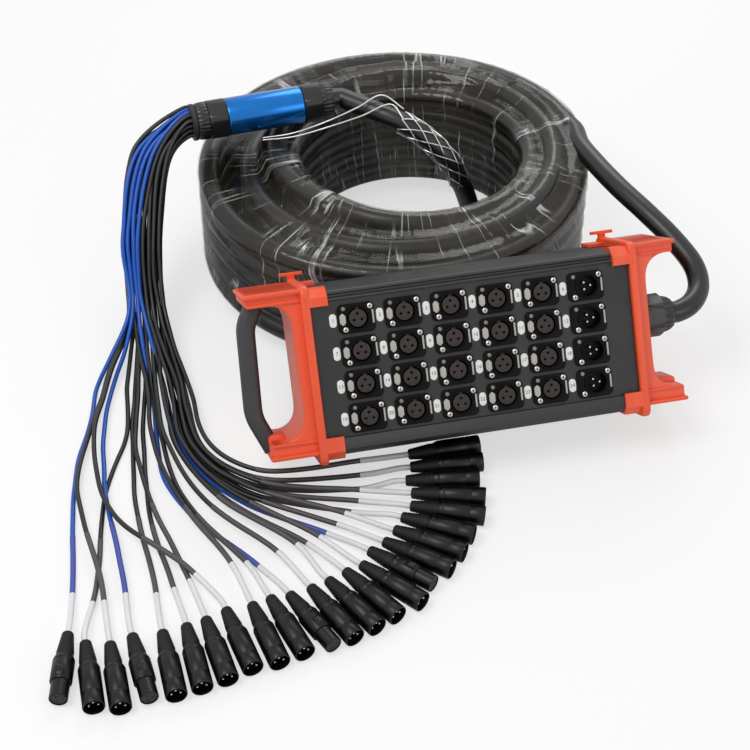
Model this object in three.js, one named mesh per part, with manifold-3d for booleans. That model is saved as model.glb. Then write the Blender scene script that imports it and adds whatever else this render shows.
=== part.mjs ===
// A stage box snake: a 24-way connector box with moulded end bumpers and a carrying handle, its
// multicore trunk wound in a coil behind it, and a fan-out of 24 numbered tails with their plugs.
// Millimetres, +Z up. The origin is on the floor under the middle of the box, which leans back
// against the coil. The box is built upright in its own frame (x along the panel, y back from the
// panel's front edge, z up from the middle of the socket field) and then leaned back.
import * as THREE from "three";
import { mergeVertices } from "three/addons/utils/BufferGeometryUtils.js";
import Module from "manifold-3d";

const wasm = await Module();
wasm.setup();

// Driving sizes shared by many pieces
const gap = 0.3;
const overrun = 4;
const roundSides = 12;
const nutSides = 6;
const leanDegrees = 33.5;

// Socket field
const socketColumns = 6;
const socketRows = 4;
const socketPitchX = 43.2;
const socketPitchZ = 30.3;

// Extruded case, measured from the middle of the socket field, and longer than it at both ends
const caseEndMargin = 19.9;
const caseLength = socketColumns * socketPitchX + 2 * caseEndMargin;
const caseTop = 73;
const caseBottom = 78;
const caseDepth = 88;
const caseWall = 3;
const caseChamfer = 6;
const railDepth = 6;
const panelTop = 63.5;
const panelBottom = 61.5;
const panelLedge = 4;
const panelRecess = 1.5;
const panelThickness = 2;

// Chassis sockets
const flangeLeft = 18.2;
const flangeRight = 15.8;
const flangeWidth = 27;
const flangeThickness = 2;
const flangeCorner = 3;
const boreRadius = 9.6;
const insertRadius = 8.1;
const grooveDepth = 8;
const recessDepth = 9;
const rearRadius = 11.6;
const rearLength = 20;
const pinRadius = 1.2;
const pinCircle = 3.9;
const pinLength = 6;
const pinRoot = 1;
const ringSides = 10;
const rearSides = 6;
const pinSides = 4;

// Release tabs of the female chassis sockets
const tabWidth = 5.6;
const tabHeight = 11;
const tabOffset = 13.9;
const tabCorner = 2.2;
const tabProud = 1;
const tabThickness = 3.5;

// Moulded end bumpers
const ribThickness = 8;
const ribProud = 7.5;
const ribCorner = 9;
const clipLength = 16;
const clipThickness = 3;
const clipBandTop = 60.5;
const clipBandBottom = 60;
const clipBandDepth = 20;
const barThickness = 9;
const lugReachLeft = 50;
const lowReachLeft = 42;
const lugReachRight = 37;
const lugTop = 78;
const lugHeight = 12;
const lugBottom = 75;
const lugRise = 15;
const windowRadius = 24;
const webInset = 4;
const lipThickness = 4;
const pocketRim = 4;
const pocketRimHeight = 5;
const hookStem = 7;
const hookBar = 22;
const hookBarHeight = 3;
const hookHeight = 4.5;
const hookThickness = 5;
const slotLength = 14;
const slotWidth = 5;
const slotDepth = 4;

// Carrying handle, a flat bar bent in the plane of the panel
const handleWidth = 16.5;
const handleDepth = 25;
const handleBevel = 2.5;
const handleTopInset = 11;
const handleOut = 9.5;
const handleTopBend = 47;
const handleLowBend = 38;
const handleLowOut = 12.5;
const handleFootIn = 1;
const handleFootRise = 5;
const leastMitreShare = 0.5;

// Cable gland on the right end wall
const glandHeight = 3;
const glandNutRadius = 21;
const glandNutLength = 24;
const nutEdge = 1.2;
const glandDomeRadius = 17.5;
const glandMouthRadius = 13.5;
const glandDomeLength = 12;
const glandStemRadius = 14.5;
const glandLockRadius = 20;
const glandLockLength = 5;

// Multicore trunk and its coil
const trunkDiameter = 21;
const trunkSides = 8;
const trunkStep = 24;
const coilCentreX = 14;
const coilCentreY = 268.7;
const coilInnerRadius = 126;
const coilPitch = 24;
const layerStep = 25;
const coilLayers = 3;
const coilRiseTurns = 5.3;
const stepOutTurns = 0.5;
const coilStartDegrees = -30;
const coilSideSwell = 36;
const swellDegrees = 185;
const swellPower = 2;
const loopSteps = 21;
const loopSides = 6;

// Fan-out barrel with a gland at each end, lying on the coil
const barrelCentre = [-130, 325, 170];
const barrelTurnDegrees = 5;
const barrelRadius = 19.5;
const barrelLength = 82;
const barrelEdge = 1.5;
const endNutRadius = 21.5;
const endNutLength = 21;
const endDomeLength = 11;
const endDomeRadius = 19.5;
const endMouthRadius = 19;

// Wire cable grip on the trunk's end
const gripWire = 1.8;
const gripWireSides = 4;
const gripClearance = 3;
const gripWiresEachWay = 3;
const gripTurnShare = 0.6;
const gripSteps = 6;
const gripStartShare = 0.16;
const gripEndShare = 0.66;

// Fan-out tails and their plugs
const tailDiameter = 5;
const tailSides = 5;
const sealLength = 5;
const sealRadius = 19;
const mouthPitch = 5.7;
const mouthColumns = 5;
const layerPitch = 7;
const lanePitch = 7;
const plugRadius = 9.5;
const plugLength = 69;
const plugSegments = 8;
const bootLength = 23;
const bootRearRadius = 4.8;
const bootFrontRadius = 7.4;
const shoulderLength = 6;
const plugWall = 1.2;
const plugRecess = 11;
const plugPinLength = 9;
const noseRadius = 8;
const noseLength = 17;
const noseInsertRadius = 6.6;
const noseInsertStep = 1.5;
const latchLength = 12;
const latchWidth = 6;
const latchHeight = 4;
const latchProud = 1.4;
const latchInset = 13;
const latchTravel = 1.5;

// The trunk's free route from the box to the coil, by hand
const leadRoute = [
  [231, 6, 101], [246, 24, 104], [250, 48, 111], [240, 82, 121], [224, 118, 130], [207, 160, 136],
  [196, 205, 137.7], [191, 240, 137.7],
];
// The trunk's free route from the fan-out barrel over the coil's rim and down to its inside
const endRoute = [
  [-38, 325, 169], [-8, 299, 165], [23, 280, 153], [52, 264, 126], [70, 261, 90], [82, 262, 55],
  [93, 254, 30], [105, 241, 15],
];
// The grip's two bail strands, drawn together under the barrel, by hand
const bailRoute = [
  [0, 294, 179], [-35, 288, 173], [-71, 287, 165], [-105, 294, 154], [-136, 300, 150.5],
];
const bailSpread = [
  [-7, 309, 182], [-35, 298, 178], [-70, 292, 169], [-106, 299, 155], [-136, 304, 150.5],
];

// Stations of the tail bundle's underside between the barrel and the fan
const bundleRoute = [
  [-249, 306, 146], [-273, 249, 85], [-281, 185, 25],
];
// The numbers of the tails in each lane of the bundle, from its outer edge to its inner one and from low to high
const laneNumbers = [
  [1, 3, 8], [2, 4, 9], [5, 7, 12], [6, 10, 13], [11, 14, 15], [16, 17, 18], [19, 20, 21], [22, 23, 24],
];
// Each plug's tip on the floor and the way it points, in degrees, then its tail's route on the floor
const tails = [
  [[-405.5, -263.5, -101], [[-337, 127], [-351, 75], [-372, -2], [-384, -130]]],
  [[-377.5, -277.5, -89], [[-311, 121], [-318, 51], [-348, -40], [-365, -145]]],
  [[-356, -283, -88], [[-329, 127], [-352, 56], [-371, -25], [-360, -140]]],
  [[-332, -278, -84], [[-321, 126], [-336, 69], [-346, -30], [-340, -145]]],
  [[-310, -280, -87], [[-304, 115], [-314, 30], [-320, -60], [-314, -150]]],
  [[-288, -277, -86], [[-296, 100], [-305, 10], [-309, -70], [-299, -150]]],
  [[-266, -273, -82], [[-301, 100], [-313, 15], [-306, -50], [-284, -155]]],
  [[-244, -266, -79], [[-324, 127], [-350, 40], [-342, -65], [-284, -146]]],
  [[-221, -265, -79], [[-292, 100], [-295, 8], [-278, -66], [-245, -150]]],
  [[-198.5, -259.5, -74], [[-287, 100], [-286, 8], [-271, -70], [-230, -150]]],
  [[-173.5, -256.5, -67], [[-288, 85], [-291, -20], [-266, -82], [-219, -152]]],
  [[-154, -252.5, -67], [[-284, 95], [-279, -2], [-255, -72], [-202, -146]]],
  [[-133, -245.5, -63], [[-277, 95], [-272, 2], [-244, -68], [-185, -138]]],
  [[-113, -237, -60], [[-276, 95], [-271, 2], [-240, -64], [-176, -134]]],
  [[-88.5, -226.5, -51], [[-270, 95], [-265, 2], [-232, -62], [-165, -132]]],
  [[-74.5, -208.5, -47], [[-275, 95], [-266, 5], [-229, -62], [-150, -126]]],
  [[-54.5, -195.5, -41], [[-269, 95], [-263, 4], [-223, -60], [-140, -121]]],
  [[-38.5, -179, -36], [[-264, 95], [-258, 4], [-219, -56], [-134, -112]]],
  [[-25, -160, -31], [[-268, 95], [-257, 5], [-216, -57], [-126, -102]]],
  [[-9.5, -139.5, -23], [[-263, 97], [-255, 4], [-214, -55], [-120, -94]]],
  [[-2.5, -117, -17], [[-258, 97], [-251, 4], [-209, -52], [-115, -86]]],
  [[-2, -92, -10], [[-261, 98], [-249, 5], [-207, -50], [-112, -75]]],
  [[7, -71, -6], [[-257, 100], [-247, 4], [-206, -45], [-105, -62]]],
  [[9.5, -48, -1], [[-252, 102], [-243, 4], [-201, -40], [-102, -49]]],
];
const femalePlugNumbers = [1, 4, 11, 16];

// Colours and finishes
const finish = (color, roughness, metalness) => new THREE.MeshStandardMaterial({ color, roughness, metalness });
const charcoal = finish(0x3a3c3e, 0.45, 0.6);
const panelBlack = finish(0x1c1c1e, 0.5, 0.4);
const orange = finish(0xe8552c, 0.55, 0);
const handleGrey = finish(0x38383a, 0.7, 0);
const tabGrey = finish(0xaaa69c, 0.5, 0);
const glandBlack = finish(0x1b1b1c, 0.55, 0);
const jacketBlack = finish(0x18181a, 0.6, 0);
const anodisedBlue = finish(0x1248b4, 0.3, 0.9);
const steelWire = finish(0xc9c9c6, 0.3, 1);
const plugBlack = finish(0x121213, 0.35, 0.5);
const latchBlack = finish(0x202022, 0.5, 0.2);

// Solids, their joins and cuts
function solid(geometry) {
  const bare = geometry.clone();
  bare.deleteAttribute("normal");
  bare.deleteAttribute("uv");
  const merged = mergeVertices(bare, 1e-4);
  return new wasm.Manifold(new wasm.Mesh({
    numProp: 3,
    vertProperties: merged.attributes.position.array,
    triVerts: new Uint32Array(merged.index.array),
  }));
}

function geometryOf(made) {
  const { vertProperties, triVerts } = made.getMesh();
  const geometry = new THREE.BufferGeometry();
  geometry.setAttribute("position", new THREE.BufferAttribute(new Float32Array(vertProperties), 3));
  geometry.setIndex(new THREE.BufferAttribute(new Uint32Array(triVerts), 1));
  geometry.computeVertexNormals();
  return geometry;
}

const join = (pieces) => pieces.reduce((sum, piece) => sum.add(piece));

function named(name, geometry, material) {
  const mesh = new THREE.Mesh(geometry, material);
  mesh.name = name;
  return mesh;
}

// Outlines
function outline(points) {
  return new THREE.Shape(points.map(([across, up]) => new THREE.Vector2(across, up)));
}

// A rectangle with cut corners
function cutOutline(left, right, low, high, corner) {
  return outline([
    [left + corner, low],
    [right - corner, low],
    [right, low + corner],
    [right, high - corner],
    [right - corner, high],
    [left + corner, high],
    [left, high - corner],
    [left, low + corner],
  ]);
}

function roundedOutline(left, right, low, high, radius, segments) {
  const shape = new THREE.Shape();
  shape.moveTo(left + radius, low);
  shape.lineTo(right - radius, low);
  shape.absarc(right - radius, low + radius, radius, -Math.PI / 2, 0);
  shape.absarc(right - radius, high - radius, radius, 0, Math.PI / 2);
  shape.absarc(left + radius, high - radius, radius, Math.PI / 2, Math.PI);
  shape.absarc(left + radius, low + radius, radius, Math.PI, 1.5 * Math.PI);
  return new THREE.Shape(shape.getPoints(segments));
}

// A prism over an outline in x and z, from y = front to y = back
function prismY(shape, front, back, bevel = 0) {
  const geometry = new THREE.ExtrudeGeometry(shape, {
    depth: back - front - 2 * bevel,
    curveSegments: 1,
    bevelEnabled: bevel > 0,
    bevelSize: bevel,
    bevelOffset: -bevel,
    bevelThickness: bevel,
    bevelSegments: 1,
  });
  return geometry.rotateX(Math.PI / 2).translate(0, back - bevel, 0);
}

// A prism over an outline in y and z, from x = low to x = high
function prismX(shape, low, high) {
  const geometry = new THREE.ExtrudeGeometry(shape, { depth: high - low, curveSegments: 1, bevelEnabled: false });
  return geometry.rotateX(Math.PI / 2).rotateZ(Math.PI / 2).translate(low, 0, 0);
}

// A block between two corners
function block(low, high) {
  const size = high.map((value, axis) => value - low[axis]);
  const middle = high.map((value, axis) => (value + low[axis]) / 2);
  return new THREE.BoxGeometry(...size).translate(...middle);
}

// A turned solid about the x axis: the profile lists distance along x and radius
function turnedX(profile, segments) {
  const points = profile.map(([along, radius]) => new THREE.Vector2(radius, along));
  return new THREE.LatheGeometry(points, segments).rotateZ(-Math.PI / 2);
}

// A round rod along y, from y = front to y = back
function rodY(x, z, radius, front, back, segments) {
  const geometry = new THREE.CylinderGeometry(radius, radius, back - front, segments);
  return geometry.translate(0, (front + back) / 2, 0).translate(x, 0, z);
}

// A tube of a regular section along a smooth curve
function tube(curve, radius, sides, steps) {
  const section = new THREE.Shape();
  for (let side = 0; side < sides; side++) {
    const angle = (side / sides) * 2 * Math.PI;
    const point = [radius * Math.cos(angle), radius * Math.sin(angle)];
    if (side === 0) section.moveTo(...point);
    else section.lineTo(...point);
  }
  return new THREE.ExtrudeGeometry(section, { steps, extrudePath: curve, curveSegments: 1, bevelEnabled: false });
}

function smooth(points) {
  return new THREE.CatmullRomCurve3(points.map((point) => new THREE.Vector3(...point)), false, "centripetal");
}

// The extruded case: a tube with a wide front opening, stepped to seat the panel
function caseShell() {
  const half = caseLength / 2;
  const outer = outline([
    [0, -caseBottom + caseChamfer],
    [caseChamfer, -caseBottom],
    [caseDepth, -caseBottom],
    [caseDepth, caseTop],
    [caseChamfer, caseTop],
    [0, caseTop - caseChamfer],
  ]);
  const inner = outline([
    [railDepth, -caseBottom + caseWall],
    [caseDepth - caseWall, -caseBottom + caseWall],
    [caseDepth - caseWall, caseTop - caseWall],
    [railDepth, caseTop - caseWall],
  ]);
  const opening = block(
    [-half - overrun, -overrun, -panelBottom + panelLedge],
    [half + overrun, railDepth + overrun, panelTop - panelLedge],
  );
  const seat = block(
    [-half - overrun, -overrun, -panelBottom - gap],
    [half + overrun, panelRecess + panelThickness + gap, panelTop + gap],
  );
  return solid(prismX(outer, -half, half))
    .subtract(solid(prismX(inner, -half - overrun, half + overrun)))
    .subtract(solid(opening))
    .subtract(solid(seat));
}

// A chassis socket is a flange with a round rear, a hollow in its front and, where it is male, pins
const socketFace = panelRecess - flangeThickness;
const socketBack = panelRecess + panelThickness;

function socketBody(x, z) {
  const flangeShape = cutOutline(
    x - flangeLeft,
    x + flangeRight,
    z - flangeWidth / 2,
    z + flangeWidth / 2,
    flangeCorner,
  );
  const flange = solid(prismY(flangeShape, socketFace, socketBack));
  return flange.add(solid(rodY(x, z, rearRadius, panelRecess, socketBack + rearLength, rearSides)));
}

function socketHollow(x, z, male) {
  const depth = male ? recessDepth : grooveDepth;
  const hollow = solid(rodY(x, z, boreRadius, socketFace - overrun, socketFace + depth, ringSides));
  if (male) return hollow;
  return hollow.subtract(solid(rodY(x, z, insertRadius, socketFace, socketFace + depth + overrun, ringSides)));
}

function socketPins(x, z) {
  const floor = socketFace + recessDepth;
  const pins = [0, 125, 235].map((degrees) => {
    const angle = THREE.MathUtils.degToRad(degrees);
    const pinX = x + pinCircle * Math.cos(angle);
    const pinZ = z + pinCircle * Math.sin(angle);
    return solid(rodY(pinX, pinZ, pinRadius, floor - pinLength, floor + pinRoot, pinSides));
  });
  return join(pins);
}

const columnX = (column) => (column - (socketColumns - 1) / 2) * socketPitchX;
const rowZ = (row) => ((socketRows - 1) / 2 - row) * socketPitchZ;

function tabOutline(x, z, margin) {
  const across = tabWidth / 2 + margin;
  const up = tabHeight / 2 + margin;
  return cutOutline(x - across, x + across, z - up, z + up, tabCorner);
}

// The panel with its 24 sockets, cut through where each release tab travels
function socketPanel() {
  let panel = solid(block(
    [-caseLength / 2, panelRecess, -panelBottom],
    [caseLength / 2, panelRecess + panelThickness, panelTop],
  ));
  const places = [];
  for (let row = 0; row < socketRows; row++) {
    for (let column = 0; column < socketColumns; column++) {
      places.push({ x: columnX(column), z: rowZ(row), male: column === socketColumns - 1 });
    }
  }
  for (const { x, z } of places) panel = panel.add(socketBody(x, z));
  for (const { x, z, male } of places) {
    panel = panel.subtract(socketHollow(x, z, male));
    if (male) {
      panel = panel.add(socketPins(x, z));
      continue;
    }
    const pocket = prismY(tabOutline(x - tabOffset, z, gap), socketFace - overrun, socketBack + overrun);
    panel = panel.subtract(solid(pocket));
  }
  return panel;
}

function pushTab(column, row) {
  const front = socketFace - tabProud;
  return prismY(tabOutline(columnX(column) - tabOffset, rowZ(row), 0), front, front + tabThickness);
}

// The handle's middle line in x and z, measured from the rib's outer face of the left bumper
function handleLine(reach) {
  const top = reach - handleTopInset;
  return [
    [top, lugTop - lipThickness],
    [top, lugTop - lugHeight - lipThickness],
    [top + handleOut, handleTopBend],
    [top + handleLowOut, -handleLowBend],
    [top - handleFootIn, -lugBottom + handleFootRise],
  ];
}

// A strip of even width along a line of straight stretches, mitred at its bends
function strip(line, width, margin) {
  const side = (sign) => line.map((point, index) => {
    const before = line[Math.max(index - 1, 0)];
    const after = line[Math.min(index + 1, line.length - 1)];
    const into = new THREE.Vector2(point[0] - before[0], point[1] - before[1]).normalize();
    const out = new THREE.Vector2(after[0] - point[0], after[1] - point[1]).normalize();
    const along = into.clone().add(out).normalize();
    const straight = into.lengthSq() > 0 ? into : out;
    const mitre = (width / 2 + margin) / Math.max(along.dot(straight), leastMitreShare);
    return [point[0] - along.y * mitre * sign, point[1] + along.x * mitre * sign];
  });
  return outline([...side(1), ...side(-1).reverse()]);
}

// A moulded bumper for the right end: a rib that stands proud of the case, four corner clips,
// an end wall and two lugs with a rounded window between them
function bumper(reach, lowReach, withGland) {
  const inside = caseLength / 2 + gap;
  const outside = inside + ribThickness;
  const frontEdge = -ribProud / 2;
  const backEdge = caseDepth + ribProud;
  const rib = solid(prismX(
    roundedOutline(frontEdge, backEdge, -caseBottom - ribProud, caseTop + ribProud, ribCorner, 3),
    inside,
    outside,
  ));
  // Clips hug the four long edges of the case
  const sleeve = (margin) => outline([
    [-margin, -caseBottom + caseChamfer - margin / 2],
    [caseChamfer - margin / 2, -caseBottom - margin],
    [caseDepth + margin, -caseBottom - margin],
    [caseDepth + margin, caseTop + margin],
    [caseChamfer - margin / 2, caseTop + margin],
    [-margin, caseTop - caseChamfer + margin / 2],
  ]);
  const clips = solid(prismX(sleeve(gap + clipThickness), inside - clipLength, inside + ribThickness / 2))
    .subtract(solid(prismX(sleeve(gap), inside - clipLength - overrun, inside)))
    .subtract(solid(block(
      [inside - clipLength - overrun, -clipThickness - overrun, -clipBandBottom],
      [inside, caseDepth + clipThickness + overrun, clipBandTop],
    )))
    .subtract(solid(block(
      [inside - clipLength - overrun, clipBandDepth, -caseBottom - clipThickness - overrun],
      [inside, caseDepth - clipBandDepth, caseTop + clipThickness + overrun],
    )));
  // The web: an end wall and two lugs round a window with swept corners
  const web = new THREE.Shape();
  const low = -lugBottom;
  const windowLow = -lugBottom + lugRise;
  const windowHigh = lugTop - lugHeight;
  web.moveTo(outside - ribThickness / 2, low);
  web.lineTo(outside + lowReach, low);
  web.lineTo(outside + lowReach, windowLow);
  web.lineTo(outside + barThickness + windowRadius, windowLow);
  web.quadraticCurveTo(outside + barThickness, windowLow, outside + barThickness, windowLow + windowRadius);
  web.lineTo(outside + barThickness, windowHigh - windowRadius);
  web.quadraticCurveTo(outside + barThickness, windowHigh, outside + barThickness + windowRadius, windowHigh);
  web.lineTo(outside + reach, windowHigh);
  web.lineTo(outside + reach, lugTop);
  web.lineTo(outside - ribThickness / 2, lugTop);
  const webShape = new THREE.Shape(web.getPoints(4));
  const core = solid(prismY(webShape, webInset, caseDepth - webInset));
  // Lips along the outer edges of both lugs, wider than the web
  const lip = (lugReach, bottom, top) => solid(block(
    [outside - ribThickness / 2, 0, bottom],
    [outside + lugReach + lipThickness / 2, caseDepth, top],
  ));
  const lips = [
    lip(reach, lugTop - lipThickness, lugTop),
    lip(lowReach, -lugBottom, -lugBottom + lipThickness),
  ];
  // A raised rim round the handle's pocket on the lower lug
  const line = handleLine(reach).map(([across, up]) => [outside + across, up]);
  const foot = line[line.length - 1];
  const depthMiddle = caseDepth / 2;
  const rimReach = handleWidth / 2 + pocketRim;
  const rim = solid(prismY(
    roundedOutline(
      foot[0] - rimReach,
      Math.min(foot[0] + rimReach, outside + lowReach),
      windowLow - pocketRimHeight,
      windowLow + pocketRimHeight,
      pocketRim,
      2,
    ),
    depthMiddle - handleDepth / 2 - pocketRim,
    depthMiddle + handleDepth / 2 + pocketRim,
  ));
  // A small hooked keeper on the rib's top at the back
  const hookBase = caseTop + ribProud - hookBarHeight;
  const middle = inside + ribThickness / 2;
  const keeper = solid(prismY(
    outline([
      [middle - hookStem / 2, hookBase],
      [middle + hookStem / 2, hookBase],
      [middle + hookStem / 2, hookBase + hookHeight + hookBarHeight],
      [middle + hookBar / 2, hookBase + hookHeight + hookBarHeight],
      [middle + hookBar / 2, hookBase + hookHeight + 2 * hookBarHeight],
      [middle - hookBar / 2, hookBase + hookHeight + 2 * hookBarHeight],
      [middle - hookBar / 2, hookBase + hookHeight + hookBarHeight],
      [middle - hookStem / 2, hookBase + hookHeight + hookBarHeight],
    ]),
    caseDepth - hookThickness,
    caseDepth,
  ));
  let made = join([rib, clips, core, ...lips, rim, keeper]);
  const pockets = solid(prismY(
    strip(line, handleWidth, gap),
    depthMiddle - handleDepth / 2 - gap,
    depthMiddle + handleDepth / 2 + gap,
  ));
  if (withGland) {
    const bore = turnedX([
      [inside - overrun, 0],
      [inside - overrun, glandStemRadius + gap],
      [outside + barThickness + overrun, glandStemRadius + gap],
      [outside + barThickness + overrun, 0],
    ], roundSides).translate(0, depthMiddle, glandHeight);
    made = made.subtract(solid(bore));
  } else {
    const slot = roundedOutline(
      depthMiddle - slotWidth / 2,
      depthMiddle + slotWidth / 2,
      -slotLength / 2 + glandHeight,
      slotLength / 2 + glandHeight,
      slotWidth / 2,
      3,
    );
    const cut = prismX(slot, outside + barThickness - slotDepth, outside + barThickness + overrun);
    made = made.subtract(solid(cut));
  }
  return made.subtract(pockets);
}

// The handle, bent between the left bumper's two lugs
function handle() {
  const outside = caseLength / 2 + gap + ribThickness;
  const line = handleLine(lugReachLeft).map(([across, up]) => [outside + across, up]);
  const [head, next] = line;
  const foot = line[line.length - 1];
  const before = line[line.length - 2];
  // Both ends stop short of the pockets' floors
  const topShort = new THREE.Vector2(next[0] - head[0], next[1] - head[1]).setLength(gap);
  const lowShort = new THREE.Vector2(before[0] - foot[0], before[1] - foot[1]).setLength(gap);
  line[0] = [head[0] + topShort.x, head[1] + topShort.y];
  line[line.length - 1] = [foot[0] + lowShort.x, foot[1] + lowShort.y];
  const middle = caseDepth / 2;
  return prismY(strip(line, handleWidth, 0), middle - handleDepth / 2, middle + handleDepth / 2, handleBevel);
}

// The box's cable gland: locknut inside, stem through the end wall, hexagon nut and dome outside
function boxGland() {
  const inside = caseLength / 2 + gap;
  const wall = inside + ribThickness + barThickness;
  const stem = turnedX([
    [inside - gap - glandLockLength, 0],
    [inside - gap - glandLockLength, glandStemRadius],
    [wall + gap, glandStemRadius],
    [wall + gap, 0],
  ], roundSides);
  const lock = turnedX([
    [inside - gap - glandLockLength, 0],
    [inside - gap - glandLockLength, glandLockRadius],
    [inside - gap, glandLockRadius],
    [inside - gap, 0],
  ], nutSides);
  const nut = turnedX([
    [wall + gap, 0],
    [wall + gap, glandNutRadius - nutEdge],
    [wall + gap + nutEdge, glandNutRadius],
    [wall + glandNutLength - nutEdge, glandNutRadius],
    [wall + glandNutLength, glandNutRadius - nutEdge],
    [wall + glandNutLength, 0],
  ], nutSides);
  const dome = turnedX([
    [wall + glandNutLength - overrun, 0],
    [wall + glandNutLength - overrun, glandDomeRadius],
    [wall + glandNutLength + glandDomeLength / 3, glandDomeRadius],
    [wall + glandNutLength + glandDomeLength, glandMouthRadius],
    [wall + glandNutLength + glandDomeLength, 0],
  ], roundSides);
  const made = join([stem, lock, nut, dome].map(solid));
  return geometryOf(made).translate(0, caseDepth / 2, glandHeight);
}

// The box, upright, then leaned back with its lowest edge on the floor
const lean = THREE.MathUtils.degToRad(leanDegrees);
const box = new THREE.Group();
box.add(named("case_shell", geometryOf(caseShell()), charcoal));
box.add(named("socket_panel", geometryOf(socketPanel()), panelBlack));
box.add(named("right_bumper", geometryOf(bumper(lugReachRight, lugReachRight, true)), orange));
const leftBumper = named("left_bumper", geometryOf(bumper(lugReachLeft, lowReachLeft, false)), orange);
leftBumper.scale.x = -1;
box.add(leftBumper);
const carryHandle = named("carry_handle", handle(), handleGrey);
carryHandle.scale.x = -1;
box.add(carryHandle);
box.add(named("box_gland", boxGland(), glandBlack));
let tabNumber = 0;
for (let row = 0; row < socketRows; row++) {
  for (let column = 0; column < socketColumns - 1; column++) {
    tabNumber += 1;
    box.add(named("push_tab_" + String(tabNumber).padStart(2, "0"), pushTab(column, row), tabGrey));
  }
}
box.rotation.x = -lean;
box.updateMatrixWorld(true);
const reach = new THREE.Box3().setFromObject(box, true);
const boxShift = new THREE.Vector3(
  -(reach.min.x + reach.max.x) / 2,
  -(reach.min.y + reach.max.y) / 2,
  -reach.min.z,
);
box.position.copy(boxShift);

// The coil: three upright layers wound as one helix that goes up, steps out, comes down, and so on.
// It climbs and falls one pitch a turn, and it steps out to the next layer in the half turn where
// the climb reverses. Its outer layers swell towards the side where the tails leave the barrel.
const trunkRadius = trunkDiameter / 2;
const coilTurns = coilLayers * coilRiseTurns + (coilLayers - 1) * stepOutTurns;

function coilPoint(turn) {
  const layerTurns = coilRiseTurns + stepOutTurns;
  const layer = Math.min(Math.floor(turn / layerTurns), coilLayers - 1);
  const within = turn - layer * layerTurns;
  const steppingTurns = layer < coilLayers - 1 ? Math.max(within - coilRiseTurns, 0) : 0;
  const stepOut = layer + steppingTurns / stepOutTurns;
  const climbed = Math.min(within, coilRiseTurns);
  const height = layer % 2 === 0 ? climbed : coilRiseTurns - climbed;
  const angle = THREE.MathUtils.degToRad(coilStartDegrees) - turn * 2 * Math.PI;
  const sideAngle = THREE.MathUtils.degToRad(swellDegrees);
  const towardsSide = (1 + Math.cos(angle - sideAngle)) / 2;
  const swell = coilSideSwell * stepOut / (coilLayers - 1) * towardsSide ** swellPower;
  const radius = coilInnerRadius + stepOut * layerStep + swell;
  return new THREE.Vector3(
    coilCentreX + radius * Math.cos(angle),
    coilCentreY + radius * Math.sin(angle),
    trunkRadius + height * coilPitch,
  );
}

// The coil's centre line, with a straight end of one radius at each end
function coilLine() {
  const points = [];
  const count = Math.round(coilTurns * loopSteps);
  for (let step = 0; step <= count; step++) points.push(coilPoint((step / count) * coilTurns));
  const flat = (from, to) => to.clone().sub(from).setZ(0).setLength(trunkRadius);
  const first = points[0].clone().add(flat(points[1], points[0]));
  const last = points[count].clone().add(flat(points[count - 1], points[count]));
  return [first, ...points, last];
}

// One unbroken tube round a list of points, its section upright at every point
function loopTube(points, radius, sides) {
  const positions = [];
  const faces = [];
  const ring = (index) => index * sides;
  points.forEach((point, index) => {
    const before = points[Math.max(index - 1, 0)];
    const after = points[Math.min(index + 1, points.length - 1)];
    const along = after.clone().sub(before).normalize();
    const across = new THREE.Vector3(along.y, -along.x, 0).normalize();
    const up = across.clone().cross(along);
    for (let side = 0; side < sides; side++) {
      const angle = ((side + 1 / 2) / sides) * 2 * Math.PI;
      const corner = point.clone()
        .addScaledVector(across, radius * Math.cos(angle))
        .addScaledVector(up, radius * Math.sin(angle));
      positions.push(corner.x, corner.y, corner.z);
    }
  });
  for (let index = 0; index < points.length - 1; index++) {
    for (let side = 0; side < sides; side++) {
      const next = (side + 1) % sides;
      const near = ring(index);
      const far = ring(index + 1);
      faces.push(near + side, far + side, near + next, near + next, far + side, far + next);
    }
  }
  const end = ring(points.length - 1);
  for (let side = 1; side < sides - 1; side++) {
    faces.push(0, side, side + 1, end, end + side + 1, end + side);
  }
  const geometry = new THREE.BufferGeometry();
  geometry.setAttribute("position", new THREE.BufferAttribute(new Float32Array(positions), 3));
  geometry.setIndex(faces);
  return solid(geometry);
}

// The least gap between two stretches of the coil that lie half a turn or more apart
function leastCoilGap(points) {
  const apart = Math.ceil(loopSteps / 2);
  let least = Infinity;
  for (let first = 0; first < points.length; first++) {
    for (let second = first + apart; second < points.length - 1; second++) {
      const span = new THREE.Line3(points[second], points[second + 1]);
      const nearest = span.closestPointToPoint(points[first], true, new THREE.Vector3());
      least = Math.min(least, nearest.distanceTo(points[first]));
    }
  }
  return least - trunkDiameter;
}

const snake = new THREE.Group();
snake.add(box);
const coil = coilLine();
console.log("least gap in the coil: " + leastCoilGap(coil).toFixed(2) + " mm");
const coilSolid = loopTube(coil, trunkRadius, loopSides);
snake.add(named("trunk_coil", geometryOf(coilSolid), jacketBlack));

// The gland's mouth on the leaned box, and the way a point lies beyond a coil end
const mouthLocal = new THREE.Vector3(
  caseLength / 2 + gap + ribThickness + barThickness + glandNutLength + glandDomeLength,
  caseDepth / 2,
  glandHeight,
);
const mouth = mouthLocal.applyAxisAngle(new THREE.Vector3(1, 0, 0), -lean).add(boxShift);
const beyond = (end, inner, distance) => end.clone().add(end.clone().sub(inner).setLength(distance));
const asPoint = (vector) => [vector.x, vector.y, vector.z];
const coilStart = coil[0];
const coilEnd = coil[coil.length - 1];

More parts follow.
